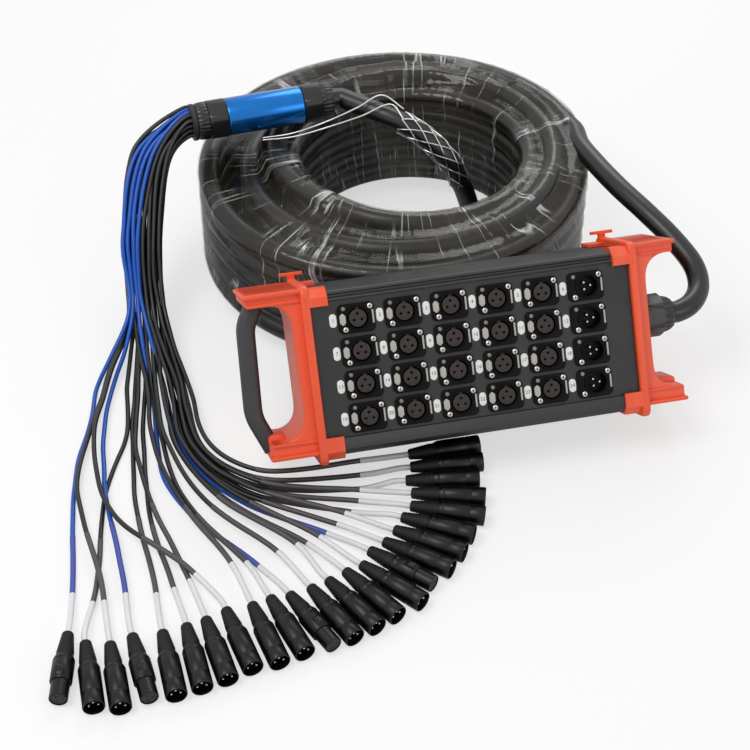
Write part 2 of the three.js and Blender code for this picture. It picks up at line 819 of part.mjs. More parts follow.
// A free stretch of trunk with a step every two diameters or so
function trunkStretch(points) {
  const curve = smooth(points);
  const steps = Math.ceil(curve.getLength() / trunkStep);
  return tube(curve, trunkRadius, trunkSides, steps);
}
const leadPoints = [
  [mouth.x + gap, mouth.y, mouth.z],
  [mouth.x + gap + trunkRadius / 2, mouth.y, mouth.z],
  ...leadRoute,
  asPoint(beyond(coilEnd, coil[coil.length - 2], trunkRadius)),
  asPoint(beyond(coilEnd, coil[coil.length - 2], gap)),
];
snake.add(named("trunk_lead", trunkStretch(leadPoints), jacketBlack));

// The fan-out barrel: an anodised tube with a hexagon gland at each end
function fanOutBarrel() {
  const half = barrelLength / 2;
  const tubeBody = turnedX([
    [-half, 0],
    [-half, barrelRadius - barrelEdge],
    [-half + barrelEdge, barrelRadius],
    [half - barrelEdge, barrelRadius],
    [half, barrelRadius - barrelEdge],
    [half, 0],
  ], roundSides);
  const endGland = (sign) => {
    const nut = turnedX([
      [half - barrelEdge, 0],
      [half - barrelEdge, endNutRadius - barrelEdge],
      [half, endNutRadius],
      [half + endNutLength - barrelEdge, endNutRadius],
      [half + endNutLength, endNutRadius - barrelEdge],
      [half + endNutLength, 0],
    ], nutSides);
    const dome = turnedX([
      [half, 0],
      [half, endDomeRadius],
      [half + endNutLength + endDomeLength / 2, endDomeRadius],
      [half + endNutLength + endDomeLength, endMouthRadius],
      [half + endNutLength + endDomeLength, 0],
    ], roundSides);
    const made = [nut, dome].map((piece) => (sign < 0 ? piece.rotateZ(Math.PI) : piece));
    return join(made.map(solid));
  };
  return geometryOf(join([solid(tubeBody), endGland(1), endGland(-1)]));
}
const barrel = named("fan_out_barrel", fanOutBarrel(), anodisedBlue);
barrel.position.set(...barrelCentre);
barrel.rotation.z = THREE.MathUtils.degToRad(barrelTurnDegrees);
snake.add(barrel);
barrel.updateMatrixWorld(true);
const barrelEnd = barrelLength / 2 + endNutLength + endDomeLength;
const onBarrel = (along, across, up) => asPoint(barrel.localToWorld(new THREE.Vector3(along, across, up)));

// The trunk's far end, from the barrel over the coil and down inside it
const endPoints = [
  onBarrel(barrelEnd + gap, 0, 0),
  onBarrel(barrelEnd + gap + trunkRadius, 0, 0),
  ...endRoute,
  asPoint(beyond(coilStart, coil[1], trunkRadius)),
  asPoint(beyond(coilStart, coil[1], gap)),
];
snake.add(named("trunk_end", trunkStretch(endPoints), jacketBlack));

// The cable grip: crossing steel wires wound on the trunk, drawn out into a bail of two strands
function cableGrip() {
  const curve = smooth(endPoints);
  const reachOut = trunkRadius + gripClearance;
  const wires = [];
  const spot = (share, turn) => {
    const point = curve.getPointAt(share);
    const along = curve.getTangentAt(share);
    const side = new THREE.Vector3(0, 0, 1).cross(along).normalize();
    const up = along.clone().cross(side);
    return asPoint(point.addScaledVector(side, reachOut * Math.cos(turn)).addScaledVector(up, reachOut * Math.sin(turn)));
  };
  for (const way of [1, -1]) {
    for (let wire = 0; wire < gripWiresEachWay; wire++) {
      const points = [];
      for (let step = 0; step <= gripSteps; step++) {
        const along = step / gripSteps;
        const share = gripStartShare + (gripEndShare - gripStartShare) * along;
        const turn = (wire / gripWiresEachWay + way * gripTurnShare * along + 1 / 8) * 2 * Math.PI;
        points.push(spot(share, turn));
      }
      wires.push(solid(tube(smooth(points), gripWire / 2, gripWireSides, gripSteps)));
    }
  }
  const start = (turn) => spot(gripStartShare, turn * 2 * Math.PI);
  for (const [turn, route] of [[1 / 8, bailSpread], [3 / 8, bailRoute]]) {
    wires.push(solid(tube(smooth([start(turn), ...route]), gripWire / 2, gripWireSides, gripSteps)));
  }
  const loopEnds = [bailSpread[bailSpread.length - 1], bailRoute[bailRoute.length - 1]];
  wires.push(solid(tube(smooth(loopEnds), gripWire / 2, gripWireSides, 1)));
  return join(wires);
}
snake.add(named("cable_grip", geometryOf(cableGrip()), steelWire));

// One tail's points: out of the barrel's seal, down in the bundle, then on the floor to its plug
function tailPoints(number) {
  const lane = laneNumbers.findIndex((mates) => mates.includes(number));
  const layer = laneNumbers[lane].indexOf(number);
  const place = lane * laneNumbers[lane].length + layer;
  const column = Math.floor(place / mouthColumns);
  // In the seal the tails of a column stand in the order of their layers
  const mates = laneNumbers.flat().slice(column * mouthColumns, (column + 1) * mouthColumns);
  const layerOf = (mate) => laneNumbers.find((tailsInLane) => tailsInLane.includes(mate)).indexOf(mate);
  mates.sort((first, second) => layerOf(first) - layerOf(second));
  const across = (column - (mouthColumns - 1) / 2) * mouthPitch;
  const height = (mates.indexOf(number) - (mates.length - 1) / 2) * mouthPitch;
  const leaving = [sealLength / 2, sealLength + tailDiameter];
  const points = leaving.map((along) => onBarrel(-barrelEnd - gap - along, -across, height));
  const rise = tailDiameter / 2 + layer * layerPitch;
  const aside = ((laneNumbers.length - 1) / 2 - lane) * lanePitch;
  const stations = bundleRoute.map((point) => new THREE.Vector3(...point));
  stations.forEach((station, index) => {
    const before = stations[Math.max(index - 1, 0)];
    const along = stations[Math.min(index + 1, stations.length - 1)].clone().sub(before).normalize();
    if (index === stations.length - 1) along.setZ(0).normalize();
    const outward = along.clone().cross(new THREE.Vector3(0, 0, 1)).normalize();
    const upward = outward.clone().cross(along);
    points.push(asPoint(station.clone().addScaledVector(outward, aside).addScaledVector(upward, rise)));
  });
  const [[tipX, tipY, degrees], floor] = tails[number - 1];
  floor.forEach(([x, y]) => points.push([x, y, rise]));
  const heading = THREE.MathUtils.degToRad(degrees);
  const back = (distance) => [
    tipX - distance * Math.cos(heading),
    tipY - distance * Math.sin(heading),
    plugRadius,
  ];
  points.push(back(plugLength + gap + tailDiameter * 2), back(plugLength + gap));
  return points.map((point) => new THREE.Vector3(...point));
}

// All the tails share the rubber seal in the barrel's mouth, which holds them as one piece
function tailBundle() {
  const seal = solid(turnedX([
    [-sealLength, 0],
    [-sealLength, sealRadius],
    [0, sealRadius],
    [0, 0],
  ], roundSides).translate(-barrelEnd - gap, 0, 0).applyMatrix4(barrel.matrixWorld));
  const tubes = tails.map((tail, index) => loopTube(tailPoints(index + 1), tailDiameter / 2, tailSides));
  return join([seal, ...tubes]);
}
snake.add(named("tail_bundle", geometryOf(tailBundle()), jacketBlack));

// A male plug: boot, shell and an open front with three pins. The x axis runs from boot to tip.
function malePlug() {
  const shell = turnedX([
    [0, 0],
    [0, bootRearRadius],
    [bootLength, bootFrontRadius],
    [bootLength + shoulderLength, plugRadius],
    [plugLength, plugRadius],
    [plugLength, plugRadius - plugWall],
    [plugLength - plugRecess, plugRadius - plugWall],
    [plugLength - plugRecess, 0],
  ], plugSegments);
  const pins = [0, 90, 180].map((degrees) => {
    const angle = THREE.MathUtils.degToRad(degrees);
    return turnedX([
      [plugLength - plugRecess - pinRoot, 0],
      [plugLength - plugRecess - pinRoot, pinRadius],
      [plugLength - plugRecess + plugPinLength, pinRadius],
      [plugLength - plugRecess + plugPinLength, 0],
    ], 4).translate(0, pinCircle * Math.cos(angle), pinCircle * Math.sin(angle));
  });
  return join([shell, ...pins].map(solid));
}

// A female plug: the same boot and shell with a slimmer nose, an insert set back in it and a
// pocket on top for the latch button
function femalePlug() {
  const noseStart = plugLength - noseLength;
  const shell = turnedX([
    [0, 0],
    [0, bootRearRadius],
    [bootLength, bootFrontRadius],
    [bootLength + shoulderLength, plugRadius],
    [noseStart, plugRadius],
    [noseStart, noseRadius],
    [plugLength, noseRadius],
    [plugLength, noseInsertRadius],
    [plugLength - noseInsertStep, noseInsertRadius],
    [plugLength - noseInsertStep, 0],
  ], plugSegments);
  const pocket = block(
    [noseStart - latchInset - gap, -latchWidth / 2 - gap, plugRadius - latchHeight - latchTravel],
    [noseStart - latchInset + latchLength + gap, latchWidth / 2 + gap, plugRadius + overrun],
  );
  return solid(shell).subtract(solid(pocket));
}

function latchButton() {
  const noseStart = plugLength - noseLength;
  const start = noseStart - latchInset;
  const low = plugRadius - latchHeight + gap;
  const high = plugRadius + latchProud;
  const profile = outline([
    [start, low],
    [start + latchLength, low],
    [start + latchLength, plugRadius],
    [start + latchLength * 3 / 4, high],
    [start + latchLength / 4, high],
    [start, plugRadius],
  ]);
  return prismY(profile, -latchWidth / 2, latchWidth / 2);
}

const malePlugShape = geometryOf(malePlug());
const femalePlugShape = geometryOf(femalePlug());
const latchShape = latchButton();
tails.forEach(([[tipX, tipY, degrees]], index) => {
  const number = index + 1;
  const label = String(number).padStart(2, "0");
  const female = femalePlugNumbers.includes(number);
  const heading = THREE.MathUtils.degToRad(degrees);
  const holder = new THREE.Group();
  holder.position.set(
    tipX - plugLength * Math.cos(heading),
    tipY - plugLength * Math.sin(heading),
    plugRadius,
  );
  holder.rotation.z = heading;
  holder.add(named("plug_" + label, female ? femalePlugShape : malePlugShape, plugBlack));
  if (female) holder.add(named("latch_" + label, latchShape, latchBlack));
  snake.add(holder);
});

export default snake;
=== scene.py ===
"""The looks of the stage box snake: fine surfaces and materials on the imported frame.

Lengths are written in millimetres and turned into metres where a mesh is made. The box's pieces are
shaped upright in its own frame (x along the panel, y back from its front, z up from the middle of
the socket field) and then leaned back; everything else is shaped where it lies on the floor.
"""

import math

import bpy
import numpy as np
from mathutils import Matrix
from mathutils.geometry import tessellate_polygon


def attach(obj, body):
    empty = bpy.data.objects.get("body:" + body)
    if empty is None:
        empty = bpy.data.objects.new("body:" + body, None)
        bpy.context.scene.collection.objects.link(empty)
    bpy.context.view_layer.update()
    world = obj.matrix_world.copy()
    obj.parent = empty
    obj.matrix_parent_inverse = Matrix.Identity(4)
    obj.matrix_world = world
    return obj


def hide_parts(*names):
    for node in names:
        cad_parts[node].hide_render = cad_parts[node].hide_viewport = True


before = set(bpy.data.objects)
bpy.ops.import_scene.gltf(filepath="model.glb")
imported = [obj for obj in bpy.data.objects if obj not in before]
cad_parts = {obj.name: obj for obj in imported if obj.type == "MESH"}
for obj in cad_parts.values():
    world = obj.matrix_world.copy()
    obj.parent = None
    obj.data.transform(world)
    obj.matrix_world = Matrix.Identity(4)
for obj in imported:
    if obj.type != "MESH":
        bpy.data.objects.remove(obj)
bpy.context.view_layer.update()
MM = 0.001
ROOT = "snake"
CAMERA_PLACE, CAMERA_TARGET, CAMERA_LENS = (-0.3226, -1.1037, 1.0915), (-0.0642, 0.0813, -0.0005), 77.28
LAMP_TARGET, FLOOR_HALF, FLOOR_DROP, FLOOR_GLOW = (-0.05, 0.1, 0.05), 4000, 0.3, 0.62
chance = np.random.default_rng(24)

# The box's place and lean, and the sizes of its pieces
LEAN = math.radians(33.5)
BOX_PLACE = np.array([7.405, -37.562, 120.518])
SOCKET_X = [(column - 2.5) * 43.2 for column in range(6)]
SOCKET_Z = [(1.5 - row) * 30.3 for row in range(4)]
CASE_HALF, CASE_TOP, CASE_BOTTOM, CASE_DEPTH, CASE_WALL = 149.5, 73.0, -78.0, 88.0, 3.0
PANEL_HALF, PANEL_LOW, PANEL_TOP, PANEL_FRONT, PANEL_BACK = 149.2, -61.5, 63.5, 1.5, 3.5
FLANGE_FACE, BORE, PANEL_HOLE = -0.5, 10.9, 11.4
CONTACT_RING, SEND_DEGREES, RETURN_DEGREES = 3.9, [90, 205, 335], [0, 125, 235]
SCREW_PLACES = [(12, 9.5), (-12, -9.5)]
# The tab's and its window's left, right, lower and upper edge beside a socket's middle
TAB_EDGES, WINDOW_EDGES, TAB_CUT = (-16.7, -11.1, -5.5, 5.5), (-17.1, -10.9, -5.9, 5.9), 2.2
LABEL_ASIDE, LABEL_FACE, DIGIT_FACE, DIGIT_SIZE, MARK_ASIDE = -22.6, 1.15, 1.1, 4.6, 14.1
RIB_IN, RIB_OUT, RIB_PROUD = 149.8, 157.8, 7.5
BAR_OUT, WINDOW_CORNER = 166.8, 24.0
LUG_TOP, LUG_BOTTOM, WINDOW_TOP, WINDOW_LOW, LUG_SINK = 78.0, -75.0, 66.0, -60.0, 4.0
REACH_LEFT, LOW_REACH_LEFT, REACH_RIGHT = 50.0, 42.0, 37.0
# From front to back: the lugs' core, their outer and inner lips, the handle's seat and the keeper
CORE_SPAN, LIP_SPAN, INNER_LIP_SPAN = (4, 84), (0, 88), (2, 86)
SEAT_SPAN, KEEPER_SPAN = (27.5, 60.5), (83, 88)
DEPTH_MIDDLE = 44.0
HANDLE, HANDLE_BEND = [[39, 73.7], [39, 62], [48.5, 47], [51.5, -38], [38.1, -69.7]], 9
GLAND_HEIGHT, GLAND_MOUTH, GLAND_STRAIGHT = 3.0, 203.1, 208.3

# The trunk, its coil, the fan-out barrel and the routes, as in the CAD source
TRUNK = 21.0
COIL_CENTRE = np.array([14.0, 268.7])
COIL_INNER, COIL_MIDDLE, COIL_PITCH, LAYER_STEP, COIL_LAYERS = 126.0, 165.0, 24.0, 25.0, 3
COIL_RISE_TURNS, STEP_OUT_TURNS, COIL_START = 5.3, 0.5, math.radians(-30)
LAYER_TURNS, WHOLE_TURN = COIL_RISE_TURNS + STEP_OUT_TURNS, 2 * math.pi
SIDE_SWELL, SWELL_SIDE, SWELL_POWER = 36.0, math.radians(185), 2
BARREL_CENTRE, BARREL_TURN = np.array([-130.0, 325.0, 170.0]), math.radians(5)
BARREL_END, BARREL_STRAIGHT, CORD_GAP = 73.0, 10.5, 0.3
GRIP_WIRES, GRIP_FROM, GRIP_TO, GRIP_TURNS, GRIP_WIRE, BAIL_WIRE = 6, 0.3, 0.66, 0.7, 0.6, 0.9
LEAD_ROUTE = [
    [231, 6, 101], [246, 24, 104], [250, 48, 111], [240, 82, 121], [224, 118, 130], [207, 160, 136],
    [196, 205, 137.7], [191, 240, 137.7],
]
END_ROUTE = [
    [-38, 325, 169], [-8, 299, 165], [23, 280, 153], [52, 264, 126], [70, 261, 90], [82, 262, 55],
    [93, 254, 30], [105, 241, 15],
]
BAIL_ROUTE = [[0, 294, 179], [-35, 288, 173], [-71, 287, 165], [-105, 294, 154], [-136, 300, 150.5]]
BAIL_SPREAD = [[-7, 309, 182], [-35, 298, 178], [-70, 292, 169], [-106, 299, 155], [-136, 304, 150.5]]
BUNDLE_ROUTE = [[-249, 306, 146], [-273, 249, 85], [-281, 185, 25]]
# The film: its corners' radius, its gap over the cable, its foot's height, its dips and creases
FILM_CORNER, FILM_OFF, FILM_LOW, FILM_DIRECTIONS, STEP_END = 11.0, 1.3, 0.4, 480, 1.05
SIDE_DIP, TOP_DIP, CREASE_HEIGHT, CREASE_WAVES = 1.3, 1.2, 0.9, (19, 31, 47, 71, 103)
# The tails' lanes, left to right and each from the bottom up: on the floor, and high and low in
# the bundle
LANES = [
    [1, 3, 8], [2, 4, 9], [5, 7, 12], [6, 10, 13], [11, 14, 15], [16, 17, 18], [19, 20, 21], [22, 23, 24],
]
BUNDLE_HIGH = [
    [8, 3, 2], [5, 9, 1], [7, 6, 4], [12, 10, 11], [14, 13, 16], [17, 18, 15], [19, 20, 21], [22, 23, 24],
]
BUNDLE_LOW = [
    [8, 3, 1], [2, 9, 4], [5, 7, 11], [6, 10, 16], [12, 14, 15], [13, 17, 18], [19, 20, 21], [22, 23, 24],
]
LANE_PITCH, LAYER_PITCH, FLOOR_PITCH, MOUTH_PITCH, MOUTH_COLUMNS = 5.3, 5.1, 5.4, 5.7, 5
TAIL, PLUG_RADIUS, PLUG_LENGTH = 4.6, 9.5, 69.0
# How far each tail's sleeves reach back from its plug, and how far the white one does
SLEEVE_REACH = [
    120, 126, 132, 138, 144, 132, 150, 116, 135, 126, 147, 135,
    145, 138, 128, 132, 124, 126, 128, 140, 142, 132, 147, 148,
]
WHITE_REACH, SLEEVE_OVERLAP, GREY_WALL, WHITE_WALL = 50, 6, 0.25, 0.45
# The female plugs, whose tails are blue, and the tail that stands for the bundle's node
FEMALE, BUNDLE_STAND_IN = {1, 4, 11, 16}, 2
PLUG_PIN_RING, NOSE_HOLE_RING = 3.9, 3.4
# Each plug's tip and heading in degrees, and its tail's places on the floor on the way there
PLUGS_AND_FLOOR = [
    [[-405.5, -263.5, -101], [[-337, 127], [-351, 75], [-372, -2], [-384, -130]]],
    [[-377.5, -277.5, -89], [[-311, 121], [-318, 51], [-348, -40], [-365, -145]]],
    [[-356, -283, -88], [[-329, 127], [-352, 56], [-371, -25], [-360, -140]]],
    [[-332, -278, -84], [[-321, 126], [-336, 69], [-346, -30], [-340, -145]]],
    [[-310, -280, -87], [[-304, 115], [-314, 30], [-320, -60], [-314, -150]]],
    [[-288, -277, -86], [[-296, 100], [-305, 10], [-309, -70], [-299, -150]]],
    [[-266, -273, -82], [[-301, 100], [-313, 15], [-306, -50], [-284, -155]]],
    [[-244, -266, -79], [[-324, 127], [-350, 40], [-342, -65], [-284, -146]]],
    [[-221, -265, -79], [[-292, 100], [-295, 8], [-278, -66], [-245, -150]]],
    [[-198.5, -259.5, -74], [[-287, 100], [-286, 8], [-271, -70], [-230, -150]]],
    [[-173.5, -256.5, -67], [[-288, 85], [-291, -20], [-266, -82], [-219, -152]]],
    [[-154, -252.5, -67], [[-284, 95], [-279, -2], [-255, -72], [-202, -146]]],
    [[-133, -245.5, -63], [[-277, 95], [-272, 2], [-244, -68], [-185, -138]]],
    [[-113, -237, -60], [[-276, 95], [-271, 2], [-240, -64], [-176, -134]]],
    [[-88.5, -226.5, -51], [[-270, 95], [-265, 2], [-232, -62], [-165, -132]]],
    [[-74.5, -208.5, -47], [[-275, 95], [-266, 5], [-229, -62], [-150, -126]]],
    [[-54.5, -195.5, -41], [[-269, 95], [-263, 4], [-223, -60], [-140, -121]]],
    [[-38.5, -179, -36], [[-264, 95], [-258, 4], [-219, -56], [-134, -112]]],
    [[-25, -160, -31], [[-268, 95], [-257, 5], [-216, -57], [-126, -102]]],
    [[-9.5, -139.5, -23], [[-263, 97], [-255, 4], [-214, -55], [-120, -94]]],
    [[-2.5, -117, -17], [[-258, 97], [-251, 4], [-209, -52], [-115, -86]]],
    [[-2, -92, -10], [[-261, 98], [-249, 5], [-207, -50], [-112, -75]]],
    [[7, -71, -6], [[-257, 100], [-247, 4], [-206, -45], [-105, -62]]],
    [[9.5, -48, -1], [[-252, 102], [-243, 4], [-201, -40], [-102, -49]]],
]


# Surfaces: each is its points in millimetres and its faces, as arrays of rows of point numbers


def grid_faces(rows, columns, wrap):
    """Quads between neighbouring rows of points; wrap joins the last column to the first."""
    across = np.arange(columns if wrap else columns - 1)
    along = np.arange(rows - 1)[:, None] * columns
    here, there = along + across, along + (across + 1) % columns
    return np.stack([here, there, there + columns, here + columns], -1).reshape(-1, 4)


def outward(points, faces):
    """Turns every face round where the enclosed volume comes out negative."""
    volume = 0.0
    for group in faces:
        for corner in range(1, group.shape[1] - 1):
            a, b, c = points[group[:, 0]], points[group[:, corner]], points[group[:, corner + 1]]
            volume += np.einsum("ij,ij->", a, np.cross(b, c))
    return points, [group[:, ::-1] if volume < 0 else group for group in faces]


def together(*surfaces):
    """One surface that holds all of the given ones."""
    points, faces, count = [], [], 0
    for cloud, groups in surfaces:
        points.append(cloud)
        faces += [group + count for group in groups]
        count += len(cloud)
    return np.concatenate(points), faces


def moved(surface, offset=(0, 0, 0), turn_z=0.0, mirror_x=False):
    """The surface turned about z by turn_z, shifted by offset, or mirrored in x first."""
    points, faces = surface
    points = points * ((-1 if mirror_x else 1), 1, 1)
    c, s = math.cos(turn_z), math.sin(turn_z)
    points = points @ np.array([[c, s, 0], [-s, c, 0], [0, 0, 1]]) + np.asarray(offset, float)
    return points, [group[:, ::-1] for group in faces] if mirror_x else faces


def leaned(surface):
    """From the box's upright frame to the floor's: y' = y cos a + z sin a, z' = z cos a - y sin a."""
    points, faces = surface
    x, y, z = points.T
    c, s = math.cos(LEAN), math.sin(LEAN)
    return np.stack([x, y * c + z * s, z * c - y * s], -1) + BOX_PLACE, faces


def units(rows):
    """Each row divided by its length."""
    return rows / np.linalg.norm(rows, axis=1)[:, None]


def loop_offset(loop, distance):
    """A closed loop of points moved outwards by distance, mitred at its corners."""
    before, after = units(loop - np.roll(loop, 1, 0)), units(np.roll(loop, -1, 0) - loop)
    normal = units(np.stack([before[:, 1] + after[:, 1], -before[:, 0] - after[:, 0]], -1))
    share = np.maximum(normal[:, 0] * before[:, 1] - normal[:, 1] * before[:, 0], 0.4)
    return loop + normal * (distance / share)[:, None]


def rounded(left, right, low, high, radius, steps=5):
    """A rectangle with round corners, anticlockwise."""
    turns = np.linspace(0, math.pi / 2, steps + 1)
    arc = np.stack([np.cos(turns), np.sin(turns)], -1) * radius
    corners = []
    for quarter, centre in enumerate([
        (right - radius, high - radius), (left + radius, high - radius),
        (left + radius, low + radius), (right - radius, low + radius),
    ]):
        c, s = math.cos(quarter * math.pi / 2), math.sin(quarter * math.pi / 2)
        corners.append(arc @ np.array([[c, s], [-s, c]]) + centre)
    return np.concatenate(corners)


def circle(radius, sides, centre=(0, 0), start=0.0):
    """A circle of points, anticlockwise."""
    turns = start + np.arange(sides) / sides * 2 * math.pi
    return np.stack([np.cos(turns), np.sin(turns)], -1) * radius + centre


def ring_places(radius, degrees):
    """Places on a circle at the given angles."""
    turns = np.radians(degrees)
    return np.stack([np.cos(turns), np.sin(turns)], -1) * radius


def eased(loop, radius):
    """A loop with each corner replaced by a short three-point arc."""
    loop = np.asarray(loop, float)
    points = []
    for before, corner, after in zip(np.roll(loop, 1, 0), loop, np.roll(loop, -1, 0)):
        back, on = before - corner, after - corner
        cut_back = back / np.linalg.norm(back) * min(radius, np.linalg.norm(back) * 0.4)
        cut_on = on / np.linalg.norm(on) * min(radius, np.linalg.norm(on) * 0.4)
        points += [corner + cut_back, corner + (cut_back + cut_on) * 0.28, corner + cut_on]
    return np.array(points)


def chamfered(left, right, low, high, cut):
    """A rectangle with its corners cut off, anticlockwise."""
    return [
        [left + cut, low], [right - cut, low], [right, low + cut], [right, high - cut],
        [right - cut, high], [left + cut, high], [left, high - cut], [left, low + cut],
    ]


def prism(outline, low, high, edge=0.6, holes=(), axes="xyz", steps=2):
    """A plate over an outline with holes. Its edges are rounded by the radius edge: the rim is
    drawn in by edge (1 - cos t) at the height edge sin t from each face."""
    loops = [np.asarray(outline, float)] + [np.asarray(hole, float) for hole in holes]
    if edge > 0:
        turns = np.linspace(0, math.pi / 2, steps + 1)
        rings = [(edge * (1 - math.cos(t)), low + edge - edge * math.sin(t)) for t in turns[::-1]]
        rings += [(edge * (1 - math.cos(t)), high - edge + edge * math.sin(t)) for t in turns]
    else:
        rings = [(0, low), (0, high)]
    points, faces, per_ring = [], [], sum(len(loop) for loop in loops)
    for inset, height in rings:
        for number, loop in enumerate(loops):
            shifted = loop_offset(loop, -inset if number == 0 else inset)
            points.append(np.column_stack([shifted, np.full(len(loop), height)]))
    start = 0
    for number, loop in enumerate(loops):
        index = start + np.arange(len(loop))
        following = start + (np.arange(len(loop)) + 1) % len(loop)
        for ring in range(len(rings) - 1):
            low_row, high_row = ring * per_ring, (ring + 1) * per_ring
            quad = np.stack([
                index + low_row, following + low_row, following + high_row, index + high_row], -1)
            faces.append(quad if number == 0 else quad[:, ::-1])
        start += len(loop)
    points = np.concatenate(points)
    for first, flip in ((0, True), ((len(rings) - 1) * per_ring, False)):
        if holes:
            split, at = [], first
            for loop in loops:
                split.append([(*points[at + k, :2], 0.0) for k in range(len(loop))])
                at += len(loop)
            cap = np.array(tessellate_polygon(split)) + first
            a, b, c = (points[cap[:, k], :2] for k in range(3))
            area = (b[:, 0] - a[:, 0]) * (c[:, 1] - a[:, 1]) - (b[:, 1] - a[:, 1]) * (c[:, 0] - a[:, 0])
            cap[area < 0] = cap[area < 0][:, ::-1]
        else:
            cap = (first + np.arange(len(loops[0])))[None]
        faces.append(cap[:, ::-1] if flip else cap)
    order = [axes.index(axis) for axis in "xyz"]
    return outward(points[:, order], faces)


def turned(profile, sides=48, flat_sides=0, apothem=0.0, ribs=0, rib_depth=0.0):
    """A turned solid about the x axis. With flat_sides the radius is the lesser of the profile's
    and apothem / cos t, where t is the angle from the nearest flat's middle; with ribs it is
    lowered by rib_depth (1 - cos(ribs t)) / 2."""
    profile = np.asarray(profile, float)
    turns = np.arange(sides) / sides * 2 * math.pi
    radius = np.repeat(profile[:, 1:2], sides, 1)
    if flat_sides:
        sector = 2 * math.pi / flat_sides
        from_flat = (turns + sector / 2) % sector - sector / 2
        radius = np.minimum(radius, apothem / np.cos(from_flat))
    if ribs:
        radius = radius - rib_depth * (1 - np.cos(ribs * turns)) / 2
    along = np.repeat(profile[:, :1], sides, 1)
    points = np.stack([along, radius * np.cos(turns), radius * np.sin(turns)], -1).reshape(-1, 3)
    last = (len(profile) - 1) * sides
    caps = [np.arange(sides)[None], (last + np.arange(sides))[None, ::-1]]
    return outward(points, [grid_faces(len(profile), sides, True)[:, ::-1], *caps])


def along_y(surface, x, y, z):
    """A solid turned about x, set along y with its start at y and its axis at x and z."""
    points, faces = surface
    return outward(np.stack([points[:, 1] + x, points[:, 0] + y, points[:, 2] + z], -1), faces)


def reach_along(points):
    """How far along a line each of its points lies."""
    return np.concatenate([[0], np.cumsum(np.linalg.norm(np.diff(points, axis=0), axis=1))])


def line_length(points):
    return float(np.linalg.norm(np.diff(points, axis=0), axis=1).sum())


def resampled(points, step):
    """The same line with points every step or so along it."""
    reach = reach_along(points)
    stations = np.linspace(0, reach[-1], max(int(round(reach[-1] / step)), 2) + 1)
    return np.stack([np.interp(stations, reach, points[:, axis]) for axis in range(3)], -1)


def smooth_line(points, step):
    """A centripetal Catmull-Rom line through the points: each knot lies the square root of the
    distance after the one before it."""
    points = np.asarray(points, float)
    ends = [2 * points[0] - points[1], *points, 2 * points[-1] - points[-2]]
    pieces = []
    for p0, p1, p2, p3 in zip(ends, ends[1:], ends[2:], ends[3:]):
        t1 = math.sqrt(np.linalg.norm(p1 - p0))
        t2 = t1 + math.sqrt(np.linalg.norm(p2 - p1))
        t3 = t2 + math.sqrt(np.linalg.norm(p3 - p2))
        t = np.linspace(t1, t2, 13)[:-1, None]
        a1 = (t1 - t) / t1 * p0 + t / t1 * p1
        a2 = (t2 - t) / (t2 - t1) * p1 + (t - t1) / (t2 - t1) * p2
        a3 = (t3 - t) / (t3 - t2) * p2 + (t - t2) / (t3 - t2) * p3
        b1 = (t2 - t) / t2 * a1 + t / t2 * a2
        b2 = (t3 - t) / (t3 - t1) * a2 + (t - t1) / (t3 - t1) * a3
        pieces.append((t2 - t) / (t2 - t1) * b1 + (t - t1) / (t2 - t1) * b2)
    return resampled(np.concatenate([*pieces, points[-1:]]), step)


def bend(start, handle, stop, count):
    """A quadratic curve of count points from start to stop, drawn towards its middle handle."""
    share = np.linspace(0, 1, count)[:, None]
    return (1 - share) ** 2 * start + 2 * share * (1 - share) * handle + share ** 2 * stop


def bent_line(points, radius):
    """Straight stretches joined by bends: each bend is the quadratic curve from radius before a
    corner to radius after it, with the corner as its middle handle."""
    points = np.asarray(points, float)
    pieces = [points[:1]]
    for before, corner, after in zip(points, points[1:], points[2:]):
        reach = min(radius, np.linalg.norm(before - corner) / 2, np.linalg.norm(after - corner) / 2)
        start = corner + (before - corner) / np.linalg.norm(before - corner) * reach
        stop = corner + (after - corner) / np.linalg.norm(after - corner) * reach
        pieces.append(bend(start, corner, stop, 7))
    return np.concatenate([*pieces, points[-1:]])


def sweep(path, section, upright=(0, 0, 1)):
    """A section of points (side, up) carried along a path. The side vector is square to the path
    and to upright."""
    path = np.asarray(path, float)
    along = units(np.gradient(path, axis=0))
    side = units(np.cross(along, np.asarray(upright, float)))
    up = np.cross(side, along)
    rings = path[:, None] + side[:, None] * section[None, :, :1] + up[:, None] * section[None, :, 1:]
    count = len(section)
    last = (len(path) - 1) * count
    caps = [np.arange(count)[None], (last + np.arange(count))[None, ::-1]]
    return outward(rings.reshape(-1, 3), [grid_faces(len(path), count, True)[:, ::-1], *caps])


